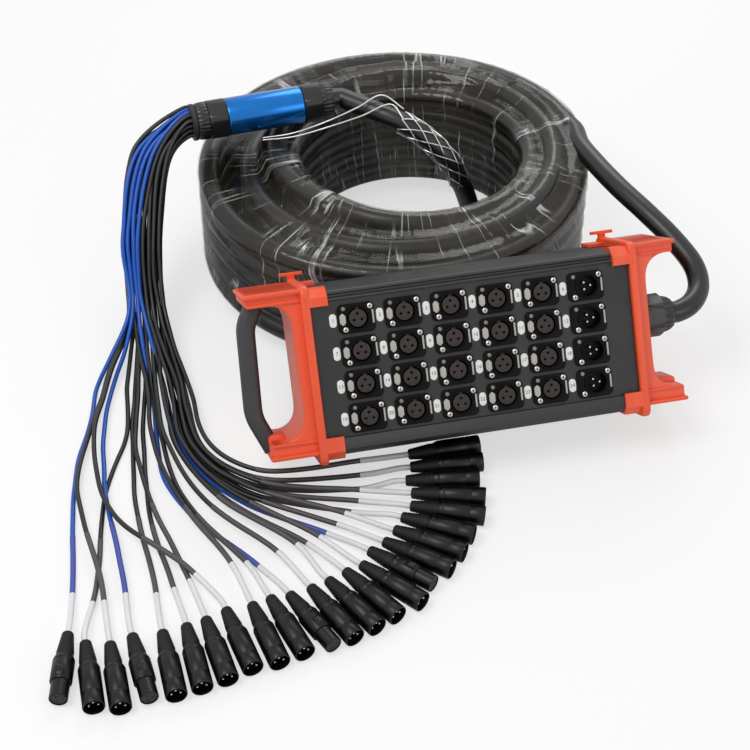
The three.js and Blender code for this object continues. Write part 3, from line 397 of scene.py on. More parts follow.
def made(name, surface, finish, sharp=32, body=ROOT, replaces=(), slot=None, marks=None):
    """An object at the origin with the surface's mesh, riding on a body of the frame."""
    points, faces = surface
    mesh = bpy.data.meshes.new(name)
    mesh.vertices.add(len(points))
    mesh.vertices.foreach_set("co", (points * MM).astype(np.float32).ravel())
    corners = np.concatenate([group.ravel() for group in faces]).astype(np.int32)
    sizes = np.concatenate([np.full(len(group), group.shape[1]) for group in faces])
    mesh.loops.add(len(corners))
    mesh.loops.foreach_set("vertex_index", corners)
    mesh.polygons.add(len(sizes))
    starts = np.concatenate([[0], np.cumsum(sizes)[:-1]]).astype(np.int32)
    mesh.polygons.foreach_set("loop_start", starts)
    mesh.update(calc_edges=True)
    mesh.validate()
    mesh.polygons.foreach_set("use_smooth", np.ones(len(mesh.polygons), bool))
    mesh.set_sharp_from_angle(angle=math.radians(sharp))
    for mark, values in (marks or {}).items():
        kind, field = ("FLOAT", "value") if values.ndim == 1 else ("FLOAT_VECTOR", "vector")
        mesh.attributes.new(mark, kind, "POINT").data.foreach_set(field, values.astype(np.float32).ravel())
    mesh.materials.append(finish)
    thing = bpy.data.objects.new(name, mesh)
    bpy.context.scene.collection.objects.link(thing)
    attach(thing, body)
    if replaces:
        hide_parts(*replaces)
    return thing


# Shader trees, and shader values with arithmetic


def fill(tree, socket, value):
    """Links a value or another node's socket to a socket, or sets a plain number or colour."""
    if isinstance(value, Value):
        value = value.socket
    if isinstance(value, bpy.types.NodeSocket):
        tree.links.new(value, socket)
    else:
        socket.default_value = value


def node(tree, kind, settings=None, sockets=None):
    """A new node, with its settings set first, then the values or links of its sockets."""
    new = tree.nodes.new("ShaderNode" + kind)
    for name, setting in (settings or {}).items():
        setattr(new, name, setting)
    for name, value in (sockets or {}).items():
        fill(tree, new.inputs[name], value)
    return new


def reckoned(tree, operation, *terms):
    """A Math node on terms, which may be values or numbers."""
    return Value(tree, node(tree, "Math", {"operation": operation}, dict(enumerate(terms))).outputs[0])


def mixed_output(tree, share, first, second, output="Material Output"):
    """Ends a tree with a mix of two shader nodes: the first at share 0, the second at share 1."""
    mix = node(tree, "MixShader", sockets={0: share, 1: first.outputs[0], 2: second.outputs[0]})
    fill(tree, tree.nodes[output].inputs["Surface"], mix.outputs[0])


class Value:
    """A socket of a shader tree, on which + - * / and functions add math nodes."""

    def __init__(self, tree, socket):
        self.tree, self.socket = tree, socket

    def __add__(self, other):
        return reckoned(self.tree, "ADD", self, other)

    __radd__ = __add__

    def __sub__(self, other):
        return reckoned(self.tree, "SUBTRACT", self, other)

    def __rsub__(self, other):
        return reckoned(self.tree, "SUBTRACT", other, self)

    def __mul__(self, other):
        return reckoned(self.tree, "MULTIPLY", self, other)

    __rmul__ = __mul__

    def __truediv__(self, other):
        return reckoned(self.tree, "DIVIDE", self, other)

    def __rtruediv__(self, other):
        return reckoned(self.tree, "DIVIDE", other, self)

    def size(self):
        """The value without its sign."""
        return reckoned(self.tree, "ABSOLUTE", self)

    def at_least(self, other):
        return reckoned(self.tree, "MAXIMUM", self, other)

    def clamp(self):
        return reckoned(self.tree, "MINIMUM", self.at_least(0.0), 1.0)

    def step(self, low, high):
        """0 below low, 1 above high and straight between them."""
        return ((self - low) / (high - low)).clamp()

    def line(self, middle, narrow):
        """1 where the value is middle, falling straight to 0 at 1 / narrow to both sides."""
        return (1.0 - (self - middle).size() * narrow).clamp()

    def colour(self, dark, light):
        """From the colour dark at 0 to the colour light at 1."""
        mix = node(self.tree, "Mix", {"data_type": "RGBA"}, {"Factor": self, 6: (*dark, 1), 7: (*light, 1)})
        return Value(self.tree, mix.outputs[2])


class Paint:
    """A principled material whose inputs can be fed with values."""

    def __init__(self, name, colour, roughness, metallic=0.0, coat=0.0, coat_roughness=0.1, specular=0.5):
        self.material = bpy.data.materials.new(name)
        self.material.use_nodes = True
        self.tree = self.material.node_tree
        self.shader = self.tree.nodes["Principled BSDF"]
        self.set("Base Color", (*colour, 1))
        self.set("Roughness", roughness)
        self.set("Metallic", metallic)
        self.set("Coat Weight", coat)
        self.set("Coat Roughness", coat_roughness)
        self.set("Specular IOR Level", specular)
        self.colour, self.roughness = colour, roughness
        self.place = node(self.tree, "TexCoord").outputs["Object"]

    def set(self, name, value):
        fill(self.tree, self.shader.inputs[name], value)

    def noise(self, scale, detail=3.0, stretch=(1, 1, 1), roughness=0.5, place=None):
        """Noise from 0 to 1 with features of about 1 / scale metres, on the object or on a place."""
        mapping = node(self.tree, "Mapping", sockets={"Scale": stretch, "Vector": place or self.place})
        noise = node(self.tree, "TexNoise", sockets={
            "Scale": scale, "Detail": detail, "Roughness": roughness, "Vector": mapping.outputs[0]})
        return Value(self.tree, noise.outputs["Fac"])

    def attribute(self, name, output="Fac"):
        return Value(self.tree, node(self.tree, "Attribute", {"attribute_name": name}).outputs[output])

    def bump(self, height, strength=0.4, distance=0.0004):
        bump = node(self.tree, "Bump", sockets={"Strength": strength, "Distance": distance, "Height": height})
        self.set("Normal", bump.outputs[0])

    def vary(self, share, scale=35.0, rough_share=0.25):
        """Lets the colour and the roughness wander a little over the surface."""
        patch = self.noise(scale)
        dark = [c * (1 - share) for c in self.colour]
        light = [min(c * (1 + share), 1) for c in self.colour]
        self.set("Base Color", patch.colour(dark, light))
        self.set("Roughness", self.roughness * (1 - rough_share) + patch * (2 * rough_share * self.roughness))
        return self


def linear(red, green, blue):
    """A colour as it is seen, 0 to 255, as the light that the renderer works in."""
    return tuple(
        value / 12.92 if value <= 0.04045 else ((value + 0.055) / 1.055) ** 2.4
        for value in (red / 255, green / 255, blue / 255))


def cast(name, rgb, roughness, grain=900.0, depth=0.00012, strength=0.35, share=0.08, **more):
    """A plain finish with a fine grain."""
    paint = Paint(name, linear(*rgb), roughness, **more).vary(share)
    paint.bump(paint.noise(grain, 2.0), strength, depth)
    return paint.material


case_paint = cast("case_paint", (50, 50, 52), 0.42, grain=1600, depth=0.00006, metallic=0.35)
panel_paint = cast("panel_paint", (29, 28, 29), 0.55, grain=1500, depth=0.00008)
socket_paint = cast("socket_paint", (3, 3, 3), 0.5, grain=1800, depth=0.00004, specular=0.12)
insert_paint = cast("insert_paint", (52, 45, 43), 0.6, grain=1500, depth=0.00004, specular=0.3)
rubber_paint = cast("rubber_paint", (13, 13, 14), 0.6, grain=1500, depth=0.00004)
rivet_paint = cast("rivet_paint", (120, 118, 112), 0.45, grain=1200, depth=0.00003, metallic=0.6)
# Near-black painted shade for hollows: contact hole floors, screw cross recesses and plug nose holes
hole_shade_paint = cast("hole_shade_paint", (3, 3, 3), 0.8, grain=500, depth=0.00002)
pin_paint = cast("pin_paint", (205, 200, 188), 0.25, grain=1200, depth=0.00002, metallic=1.0)
steel_paint = cast("steel_paint", (196, 196, 194), 0.28, grain=1200, depth=0.00003, metallic=1.0)
tab_paint = cast("tab_paint", (176, 172, 162), 0.4, grain=1200, depth=0.00004)
label_paint = cast("label_paint", (232, 232, 230), 0.45, grain=1200, depth=0.00002)
ink_paint = cast("ink_paint", (30, 30, 32), 0.5, grain=1200, depth=0.00002)
bumper_paint = cast("bumper_paint", (236, 84, 44), 0.42, grain=750, depth=0.00018, share=0.05, coat=0.08)
handle_paint = cast("handle_paint", (50, 50, 53), 0.58, grain=800, depth=0.0002)
gland_paint = cast("gland_paint", (17, 17, 18), 0.34, grain=900, depth=0.00008)
barrel_paint = cast("barrel_paint", (0, 106, 188), 0.24, grain=1500, depth=0.00003, metallic=0.8, coat=0.3)
jacket_paint = cast("jacket_paint", (15, 14, 13), 0.34, grain=600, depth=0.0001)
tail_paint = cast("tail_paint", (7, 7, 8), 0.42, grain=900, depth=0.00006)
blue_tail_paint = cast("blue_tail_paint", (2, 80, 178), 0.36, grain=900, depth=0.00006)
grey_sleeve_paint = cast("grey_sleeve_paint", (74, 70, 72), 0.5, grain=900, depth=0.00006)
blue_sleeve_paint = cast("blue_sleeve_paint", (66, 82, 168), 0.5, grain=900, depth=0.00006)
white_sleeve_paint = cast("white_sleeve_paint", (226, 228, 230), 0.4, grain=300, depth=0.0002, share=0.06)
boot_paint = cast("boot_paint", (9, 8, 8), 0.6, specular=0.3, grain=900, depth=0.0001)
shell_paint = cast("shell_paint", (5, 4, 4), 0.36, grain=1400, depth=0.00002, specular=0.3)


# Camera, light and stage


def look(thing, place, target):
    """Turns a camera or a lamp at place so that it looks at target: its axis -Z points there."""
    place, target = np.array(place, float), np.array(target, float)
    back = (place - target) / np.linalg.norm(place - target)
    right = np.cross((0, 0, 1), back)
    right /= np.linalg.norm(right)
    up = np.cross(back, right)
    matrix = np.eye(4)
    matrix[:3, 0], matrix[:3, 1], matrix[:3, 2], matrix[:3, 3] = right, up, back, place
    thing.matrix_world = Matrix(matrix.tolist())


def photo_camera():
    """The camera that the photograph was fitted with."""
    data = bpy.data.cameras.new("photo_camera")
    data.sensor_width, data.lens, data.clip_end = 36, CAMERA_LENS, 50
    camera = bpy.data.objects.new("photo_camera", data)
    bpy.context.scene.collection.objects.link(camera)
    look(camera, CAMERA_PLACE, CAMERA_TARGET)
    bpy.context.scene.camera = camera


def lamp(name, place, size, power):
    """A square softbox that looks at the object."""
    data = bpy.data.lights.new(name, "AREA")
    data.shape, data.size, data.energy = "SQUARE", size, power
    thing = bpy.data.objects.new(name, data)
    bpy.context.scene.collection.objects.link(thing)
    look(thing, place, LAMP_TARGET)


def studio_world():
    """A soft dome, seen as plain white by the camera, in mirrors and through clear film."""
    world = bpy.data.worlds.new("studio")
    bpy.context.scene.world = world
    world.use_nodes = True
    tree = world.node_tree
    dome = tree.nodes["Background"]
    fill(tree, dome.inputs["Color"], (1, 1, 1, 1))
    fill(tree, dome.inputs["Strength"], 0.5)
    white = node(tree, "Background", sockets={"Color": (1, 1, 1, 1), "Strength": 1})
    rays = node(tree, "LightPath")
    seen = Value(tree, rays.outputs["Is Camera Ray"])
    for kind in ("Is Glossy Ray", "Is Transmission Ray"):
        seen = seen.at_least(rays.outputs[kind])
    mixed_output(tree, seen, dome, white, "World Output")


def floor_finish():
    """A pale floor that the camera sees half lit by itself, so that it stays white round the
    object's shadow."""
    paint = Paint("floor_paint", (0.96, 0.96, 0.96), 0.9, specular=0.05)
    seen = Value(paint.tree, node(paint.tree, "LightPath").outputs["Is Camera Ray"])
    mixed_output(paint.tree, seen * FLOOR_GLOW, paint.shader, node(paint.tree, "Emission"))
    return paint.material


photo_camera()
studio_world()
lamp("key", (-0.9, -0.25, 1.75), 0.9, 15)
lamp("back", (0.5, 1.3, 1.3), 0.8, 7)
lamp("front", (0.9, -1.3, 0.9), 0.7, 3)
bpy.context.scene.view_settings.view_transform = "Standard"
floor_corners = np.array([(-1, -1, 0), (1, -1, 0), (1, 1, 0), (-1, 1, 0)]) * FLOOR_HALF - (0, 0, FLOOR_DROP)
made("floor", (floor_corners, [np.array([[0, 1, 2, 3]])]), floor_finish())

# Soft routes: the trunk from the box's gland through its coil to the barrel, and the tails


def on_barrel(along, side, up):
    """A point of the barrel's own frame, whose x runs along it, on the floor's frame."""
    c, s = math.cos(BARREL_TURN), math.sin(BARREL_TURN)
    return BARREL_CENTRE + (along * c - side * s, along * s + side * c, up)


def coil_swell(angle, step_out):
    """How far the coil bulges towards the side where the tails leave it: the swell, times the
    share of the layers stepped out, times a power of how much a direction faces that side."""
    faced = ((1 + np.cos(angle - SWELL_SIDE)) / 2) ** SWELL_POWER
    return SIDE_SWELL * step_out / (COIL_LAYERS - 1) * faced


def coil_line(step):
    """The coil from its inner end. It climbs or falls one pitch a turn through each layer, and
    between two layers it steps out over half a turn at one height."""
    whole = LAYER_TURNS * COIL_LAYERS - STEP_OUT_TURNS
    turn = np.linspace(0, whole, int(whole * WHOLE_TURN * COIL_MIDDLE / step))
    layer = np.minimum(turn // LAYER_TURNS, COIL_LAYERS - 1)
    within = turn - layer * LAYER_TURNS
    stepping = np.clip((within - COIL_RISE_TURNS) / STEP_OUT_TURNS, 0, 1)
    step_out = layer + stepping * (layer < COIL_LAYERS - 1)
    climbed = np.minimum(within, COIL_RISE_TURNS)
    height = np.where(layer % 2 == 0, climbed, COIL_RISE_TURNS - climbed)
    angle = COIL_START - turn * 2 * math.pi
    radius = COIL_INNER + step_out * LAYER_STEP + coil_swell(angle, step_out)
    return np.stack([
        COIL_CENTRE[0] + radius * np.cos(angle), COIL_CENTRE[1] + radius * np.sin(angle),
        TRUNK / 2 + height * COIL_PITCH,
    ], -1)


def straight_on(end, before):
    """Two points that lead on level from a line's end, the way the line arrives."""
    way = (end - before) * (1, 1, 0)
    way /= np.linalg.norm(way)
    return np.array([end + way * TRUNK / 2, end + way * TRUNK])


def at_gland(reach):
    """A point on the box gland's axis, reach from the middle of the box, on the floor's frame."""
    return leaned((np.array([[reach, DEPTH_MIDDLE, GLAND_HEIGHT]]), []))[0]


gland_mouth = at_gland(GLAND_MOUTH)
coil = coil_line(40)
barrel_way = [on_barrel(BARREL_END + reach, 0, 0) for reach in (CORD_GAP, BARREL_STRAIGHT)]
trunk_line = smooth_line(np.concatenate([
    gland_mouth, at_gland(GLAND_STRAIGHT), LEAD_ROUTE, straight_on(coil[-1], coil[-2])[::-1], coil[::-1],
    straight_on(coil[0], coil[1]), END_ROUTE[::-1], barrel_way[::-1],
]), 5)


def gentle(line, amount, wave):
    """The line with a slow wander sideways that dies out at its ends: four sines whose waves are
    shares of the given one, with random phases."""
    reach = np.linspace(0, line_length(line), len(line))
    wander = np.zeros((len(line), 2))
    for part in (1, 1.7, 2.6, 4.1):
        for axis in range(2):
            phase = chance.uniform(0, 2 * math.pi)
            wander[:, axis] += np.sin(reach * 2 * math.pi * part / wave + phase) / part
    fade = np.minimum(1, np.minimum(reach, reach[-1] - reach) / wave)[:, None]
    along = np.gradient(line, axis=0)
    side = units(np.cross(along, (0, 0, 1)))
    return line + fade * amount * (wander[:, :1] * side + wander[:, 1:] * (0, 0, 1)) / 2


trunk_line = gentle(trunk_line, 0.25, 260)


def seat(number, lanes):
    """A tail's lane and its layer in it."""
    lane = next(index for index, mates in enumerate(lanes) if number in mates)
    return lane, lanes[lane].index(number)


def tail_line(number, step=3.0):
    """A tail's route: out of the seal, down the coil in its lane and layer, over the floor."""
    lane, layer = seat(number, BUNDLE_HIGH)
    order = [mate for mates in BUNDLE_HIGH for mate in mates]
    column = (lane * 3 + layer) // MOUTH_COLUMNS
    mates = order[column * MOUTH_COLUMNS:(column + 1) * MOUTH_COLUMNS]
    mates = sorted(mates, key=lambda mate: seat(mate, BUNDLE_HIGH)[1])
    across = (column - (MOUTH_COLUMNS - 1) / 2) * MOUTH_PITCH
    height = (mates.index(number) - (len(mates) - 1) / 2) * MOUTH_PITCH
    points = [on_barrel(-BARREL_END - CORD_GAP - along, -across, height) for along in (-1.5, 10)]
    stations = np.array(BUNDLE_ROUTE, float)
    for index, station in enumerate(stations):
        lane, layer = seat(number, BUNDLE_LOW if index else BUNDLE_HIGH)
        aside = ((len(LANES) - 1) / 2 - lane) * LANE_PITCH
        along = stations[min(index + 1, 2)] - stations[max(index - 1, 0)]
        if index == 2:
            along = along * (1, 1, 0)
        along = along / np.linalg.norm(along)
        sideways = np.cross(along, (0, 0, 1))
        sideways /= np.linalg.norm(sideways)
        upwards = np.cross(sideways, along)
        points.append(station + aside * sideways + (TAIL / 2 + layer * LAYER_PITCH) * upwards)
    (tip_x, tip_y, degrees), route = PLUGS_AND_FLOOR[number - 1]
    rise = TAIL / 2 + seat(number, LANES)[1] * FLOOR_PITCH
    points += [np.array([x, y, rise]) for x, y in route]
    heading = math.radians(degrees)
    for distance in (PLUG_LENGTH + CORD_GAP + 2 * TAIL, PLUG_LENGTH + CORD_GAP):
        points.append(np.array([
            tip_x - distance * math.cos(heading), tip_y - distance * math.sin(heading), PLUG_RADIUS]))
    line = gentle(smooth_line(points, step), 1.4, 210)
    line[:, 2] = np.maximum(line[:, 2], TAIL / 2)
    return line


def cord_points(line):
    """The ring centres of a cord's tube, in metres."""
    return [tuple(point) for point in (line * MM).tolist()]


tail_lines = {number: tail_line(number) for number in range(1, 25)}

# The box


def box_piece(name, surface, finish, **more):
    """A piece of the box, given in the box's upright frame."""
    return made(name, leaned(surface), finish, **more)


inside_back, inside_top, inside_bottom = CASE_DEPTH - CASE_WALL, CASE_TOP - CASE_WALL, CASE_BOTTOM + CASE_WALL
case_profile = [
    [inside_back, inside_top], [6, inside_top], [6, 59.5], [3.8, 59.5], [3.8, 63.9], [0, 63.9], [0, 66.4],
    [2.6, 67.2], [2.6, 69.2], [0.4, 70], [0.4, 71.6], [1.8, CASE_TOP], [CASE_DEPTH, CASE_TOP],
    [CASE_DEPTH, CASE_BOTTOM], [5, CASE_BOTTOM], [0, CASE_BOTTOM + 5], [0, -61.9], [3.8, -61.9],
    [3.8, -57.5], [6, -57.5], [6, inside_bottom], [inside_back, inside_bottom],
]
box_piece(
    "case_extrusion", prism(eased(case_profile, 0.5), -CASE_HALF, CASE_HALF, 0.3, axes="yzx"), case_paint,
    replaces=["case_shell"], slot="case_charcoal")


def tab_window(x, z):
    """The outline of the window that a socket's release tab travels in."""
    left, right, low, high = WINDOW_EDGES
    return chamfered(x + left, x + right, z + low, z + high, TAB_CUT)


centres = [(x, z) for z in SOCKET_Z for x in SOCKET_X]
returns = [centre for centre in centres if centre[0] == SOCKET_X[-1]]
sends = [centre for centre in centres if centre not in returns]
panel_outline = [
    [-PANEL_HALF, PANEL_LOW], [PANEL_HALF, PANEL_LOW], [PANEL_HALF, PANEL_TOP], [-PANEL_HALF, PANEL_TOP]]
panel_holes = [circle(PANEL_HOLE, 24, centre) for centre in centres] + [tab_window(x, z) for x, z in sends]
box_piece(
    "front_panel", prism(panel_outline, PANEL_FRONT, PANEL_BACK, 0, panel_holes, "xzy"), panel_paint,
    replaces=["socket_panel"], slot="panel_black")


def at_socket(surface, centre):
    """A shape drawn round a socket's middle, moved to a socket."""
    return moved(surface, (centre[0], 0, centre[1]))


def repeated(surface, places):
    """The shape at each of the places (x, z) on the panel."""
    return together(*[at_socket(surface, place) for place in places])


def many(name, surface, places, finish):
    """One object of a shape repeated at the sockets."""
    box_piece(name, repeated(surface, places), finish)


flange_outline = eased(chamfered(-18.2, 15.8, -13.5, 13.5, 3), 1.2)
bore = circle(BORE, 32)
for name, holes, places in (
    ("send_flanges", [bore, tab_window(0, 0)], sends), ("return_flanges", [bore], returns),
):
    many(name, prism(flange_outline, FLANGE_FACE, PANEL_FRONT, 0.5, holes, "xzy"), places, socket_paint)
ring = turned([
    [9.2, 11.3], [-0.9, 11.3], [-1.5, 10.9], [-1.7, 10.4], [-1.6, 9.9], [-1.1, 9.55], [7.5, 9.5],
], 40)
many("socket_rings", along_y(ring, 0, 0, 0), centres, socket_paint)
contact_places = ring_places(CONTACT_RING, SEND_DEGREES)
insert = prism(circle(8.1, 36), -0.9, 7.6, 0.5, [circle(1.25, 12, place) for place in contact_places], "xzy")
key = prism([[-1.6, 7.6], [1.6, 7.6], [1.6, 9.7], [-1.6, 9.7]], -0.5, 7.4, 0.2, axes="xzy")
many("send_inserts", together(insert, key), sends, insert_paint)
# The contact holes' floors are painted black as the shade deep in the holes
contact_floor = along_y(turned([[3.5, 1.3], [3.8, 1.3]], 10), 0, 0, 0)
many("contact_floors", repeated(contact_floor, contact_places), sends, hole_shade_paint)
pin = along_y(turned([[8.2, 1.2], [2.2, 1.2], [1.5, 0.9], [1.2, 0.4]], 12), 0, 0, 0)
many("return_pins", repeated(pin, ring_places(CONTACT_RING, RETURN_DEGREES)), returns, pin_paint)
screw = along_y(turned([[1.2, 2.5], [-0.75, 2.5], [-1.1, 2.2], [-1.4, 1.3], [-1.5, 0.3]], 16), 0, 0, 0)
# screw_cross: a flat cross on each screw head, painted black as the shade in its recess
screw_cross = together(
    prism(chamfered(-1.5, 1.5, -0.35, 0.35, 0.1), -1.56, -1.3, 0, axes="xzy"),
    prism(chamfered(-0.35, 0.35, -1.5, 1.5, 0.1), -1.57, -1.3, 0, axes="xzy"))
many("screws", repeated(screw, SCREW_PLACES), centres, steel_paint)
many("screw_crosses", repeated(screw_cross, SCREW_PLACES), centres, hole_shade_paint)
rivet = along_y(turned([[0.4, 1.9], [-0.7, 1.9], [-1.0, 1.5], [-1.0, 0.4]], 14), -12.4, 0, 9.6)
many("flange_rivets", rivet, centres, rivet_paint)
label = prism(rounded(-3.3, 3.3, -6.2, 6.2, 3.2), LABEL_FACE, 1.6, 0.1, axes="xzy")
many("labels", moved(label, (LABEL_ASIDE, 0, 0)), centres, label_paint)


def plain_number(number, place):
    """A generic count on a label: the program's own plain digits, set upright as flat faces."""
    curve = bpy.data.curves.new("digits", "FONT")
    curve.body, curve.size, curve.align_x, curve.align_y = str(number), DIGIT_SIZE, "CENTER", "CENTER"
    thing = bpy.data.objects.new("digits", curve)
    mesh = bpy.data.meshes.new_from_object(thing)
    flat = np.array([vertex.co for vertex in mesh.vertices])
    faces = [np.array([polygon.vertices]) for polygon in mesh.polygons]
    bpy.data.objects.remove(thing)
    bpy.data.meshes.remove(mesh)
    bpy.data.curves.remove(curve)
    x, z = flat[:, 0] + place[0] + LABEL_ASIDE, flat[:, 1] + place[1]
    return np.stack([x, np.full(len(flat), DIGIT_FACE), z], -1), faces


box_piece("label_numbers", together(*[
    plain_number(number, centre) for number, centre in enumerate(centres, 1)]), ink_paint)
mark = prism(chamfered(-0.8, 0.8, -6.2, 6.2, 0.3), -0.75, -0.4, 0.1, axes="xzy")
many("side_marks", moved(mark, (MARK_ASIDE, 0, 0)), centres, tab_paint)

# The release tabs, each on its own moving body
tab = prism(eased(chamfered(*TAB_EDGES, TAB_CUT), 0.6), -1.5, 2, 0.6, axes="xzy")
for number, centre in enumerate(sends, 1):
    tab_name = "push_tab_%02d" % number
    box_piece(
        tab_name + "_form", at_socket(tab, centre), tab_paint, body=tab_name + "_body",
        replaces=[tab_name], slot="tab_grey")


def clip(at_back, at_low):
    """A clip that hugs one long edge of the case, at the front or the back, high or low."""
    base, way, band = (CASE_BOTTOM, -1, -60.0) if at_low else (CASE_TOP, 1, 60.5)
    near, far = base + 0.3 * way, base + 3.3 * way
    if at_back:
        line = [[68, near], [CASE_DEPTH + 0.3, near], [CASE_DEPTH + 0.3, band], [CASE_DEPTH + 3.3, band],
                [CASE_DEPTH + 3.3, far], [68, far]]
    else:
        line = [[20, near], [5.9, near], [-0.3, base - 5.9 * way], [-0.3, band], [-3.3, band],
                [-3.3, base - 4.4 * way], [4.4, far], [20, far]]
    return prism(line, 133.8, 153, 0.9, axes="yzx")


def end_bumper(reach, low_reach):
    """One moulded bumper, drawn at the box's right end. Its upper lug stands reach beyond the rib
    and its lower one low_reach. Between them is the window for a hand, with round corners."""
    rib = prism(rounded(
        -RIB_PROUD / 2, CASE_DEPTH + RIB_PROUD, CASE_BOTTOM - RIB_PROUD, CASE_TOP + RIB_PROUD, 9,
    ), RIB_IN, RIB_OUT, 2.2, axes="yzx", steps=4)
    end, low_end, root = RIB_OUT + reach, RIB_OUT + low_reach, RIB_OUT - LUG_SINK
    along_bar, beside_bar = np.array([0, WINDOW_CORNER]), np.array([WINDOW_CORNER, 0])
    low_corner, top_corner = np.array([BAR_OUT, WINDOW_LOW]), np.array([BAR_OUT, WINDOW_TOP])
    web = np.concatenate([
        [[root, LUG_BOTTOM], [low_end - 2, LUG_BOTTOM], [low_end, LUG_BOTTOM + 2],
         [low_end, WINDOW_LOW - 2], [low_end - 2, WINDOW_LOW]],
        bend(low_corner + beside_bar, low_corner, low_corner + along_bar, 9),
        bend(top_corner - along_bar, top_corner, top_corner + beside_bar, 9),
        [[end - 2, WINDOW_TOP], [end, WINDOW_TOP + 2], [end, LUG_TOP - 2], [end - 2, LUG_TOP],
         [root, LUG_TOP]],
    ])
    core = prism(web, *CORE_SPAN, 1.6, axes="xzy", steps=4)
    lips = [
        prism(rounded(root, lip_end + 2, low, low + 4, 1.9, 3), *LIP_SPAN, 1.2, axes="xzy")
        for low, lip_end in ((LUG_TOP - 4, end), (LUG_BOTTOM, low_end))
    ]
    inner_lips = [
        prism(rounded(root, lip_end - 1, low, low + 3, 1.4, 3), *INNER_LIP_SPAN, 1.0, axes="xzy")
        for low, lip_end in ((WINDOW_TOP, end), (WINDOW_LOW - 3, low_end))
    ]
    foot = end - 12
    seat_outline = rounded(foot - 12.2, min(foot + 12.2, low_end), WINDOW_LOW - 5, WINDOW_LOW + 5, 4)
    handle_seat = prism(seat_outline, *SEAT_SPAN, 1.5, axes="xzy")
    middle = (RIB_IN + RIB_OUT) / 2
    keeper = prism([
        [middle - 3.5, 76], [middle + 3.5, 76], [middle + 3.5, 83.6], [middle + 11, 83.6],
        [middle + 11, 86.6], [middle - 11, 86.6], [middle - 11, 83.6], [middle - 3.5, 83.6],
    ], *KEEPER_SPAN, 0.8, axes="xzy")
    clips = [clip(at_back, at_low) for at_back in (False, True) for at_low in (False, True)]
    return together(rib, core, *lips, *inner_lips, handle_seat, keeper, *clips)


for side, surface in (
    ("right", end_bumper(REACH_RIGHT, REACH_RIGHT)),
    ("left", moved(end_bumper(REACH_LEFT, LOW_REACH_LEFT), mirror_x=True)),
):
    box_piece(
        side + "_bumper_form", surface, bumper_paint, replaces=[side + "_bumper"], slot="bumper_orange")

handle_line = bent_line([[-RIB_OUT - x, DEPTH_MIDDLE, z] for x, z in HANDLE], HANDLE_BEND)
handle_form = sweep(handle_line, rounded(-8.2, 8.2, -12.4, 12.4, 6), upright=(0, 1, 0))
box_piece("handle_bar", handle_form, handle_paint, replaces=["carry_handle"], slot="handle_grey")

gland_nut = turned([
    [167.1, 17.5], [167.3, 19.6], [168.6, 21], [189.2, 21], [190.6, 19.4], [190.8, 17.8],
], 72, 6, 18.6)
gland_cap = turned([
    [190.6, 17.6], [192, 17.6], [195, 17.2], [199, 15.8], [201.6, 14], [202.6, 12.6], [202.8, 11],
], 96, ribs=24, rib_depth=0.7)
gland_washer = turned([[166.9, 20.5], [167.2, 20.9], [168.2, 20.9], [168.6, 20.4]], 64)
gland_inner = turned([[144.5, 19.5], [149, 19.5], [149.5, 19], [149.5, 14.5], [167, 14.5]], 48)
gland = moved(together(gland_nut, gland_cap, gland_washer, gland_inner), (0, DEPTH_MIDDLE, GLAND_HEIGHT))
box_piece("gland_form", gland, gland_paint, replaces=["box_gland"], slot="gland_black")

# The trunk with its film, grip and barrel
trunk = made(
    "trunk", sweep(trunk_line, circle(TRUNK / 2, 20)), jacket_paint, sharp=60,
    replaces=["trunk_lead", "trunk_coil", "trunk_end"], slot="jacket_black")


def barrel_piece(name, surface, finish, **more):
    """A piece of the barrel, given in the barrel's own frame."""
    return made(name, moved(surface, BARREL_CENTRE, BARREL_TURN), finish, **more)


barrel_form = barrel_piece("barrel_form", turned([
    [-41, 17], [-41, 18.2], [-40, 19.2], [-38.8, 19.5], [38.8, 19.5], [40, 19.2], [41, 18.2], [41, 17],
], 72), barrel_paint, replaces=["fan_out_barrel"], slot="barrel_blue")


def end_gland(sign):
    """The barrel's end gland: a chamfered hexagon, then a ribbed cap with a rounded mouth."""
    nut = turned([
        [40.6, 18], [40.8, 20], [42.2, 21.5], [58.6, 21.5], [60.2, 20.2], [60.6, 18.4],
    ], 72, 6, 19.6)
    cap = turned([
        [60.4, 19], [61.4, 19.5], [68, 19.3], [71, 18.8], [72.6, 17.8], [BARREL_END, 16.6],
        [72.4, 15], [69, 14.6],
    ], 96, ribs=32, rib_depth=0.6)
    points, faces = together(nut, cap)
    return outward(points * (sign, 1, 1), [group[:, ::sign] for group in faces])


gland_right = barrel_piece("barrel_gland_right", end_gland(1), gland_paint)
barrel_piece("barrel_gland_left", end_gland(-1), gland_paint)
seal_face = -BARREL_END - CORD_GAP
seal_profile = [[seal_face - 5, 17.5], [seal_face - 4, 19], [seal_face, 19]]
barrel_piece("tail_seal", turned(seal_profile, 48), rubber_paint)

end_line = smooth_line([*barrel_way, *END_ROUTE], 2.5)
grip_core = end_line[int(len(end_line) * GRIP_FROM):int(len(end_line) * GRIP_TO)]


def grip_wire(start, way):
    """A wire that winds round the trunk's end with the given start and way of turning. Its
    distance from the axis swings by a sine, so that it passes over and under the others."""
    along = units(np.gradient(grip_core, axis=0))
    side = units(np.cross((0, 0, 1), along))
    up = np.cross(along, side)
    turn = 2 * math.pi * (start + way * GRIP_TURNS * np.linspace(0, 1, len(grip_core)))
    reach = TRUNK / 2 + 1.3 + 0.4 * np.sin(turn * GRIP_WIRES) * way
    line = grip_core + reach[:, None] * (np.cos(turn)[:, None] * side + np.sin(turn)[:, None] * up)
    return sweep(line, circle(GRIP_WIRE, 6))


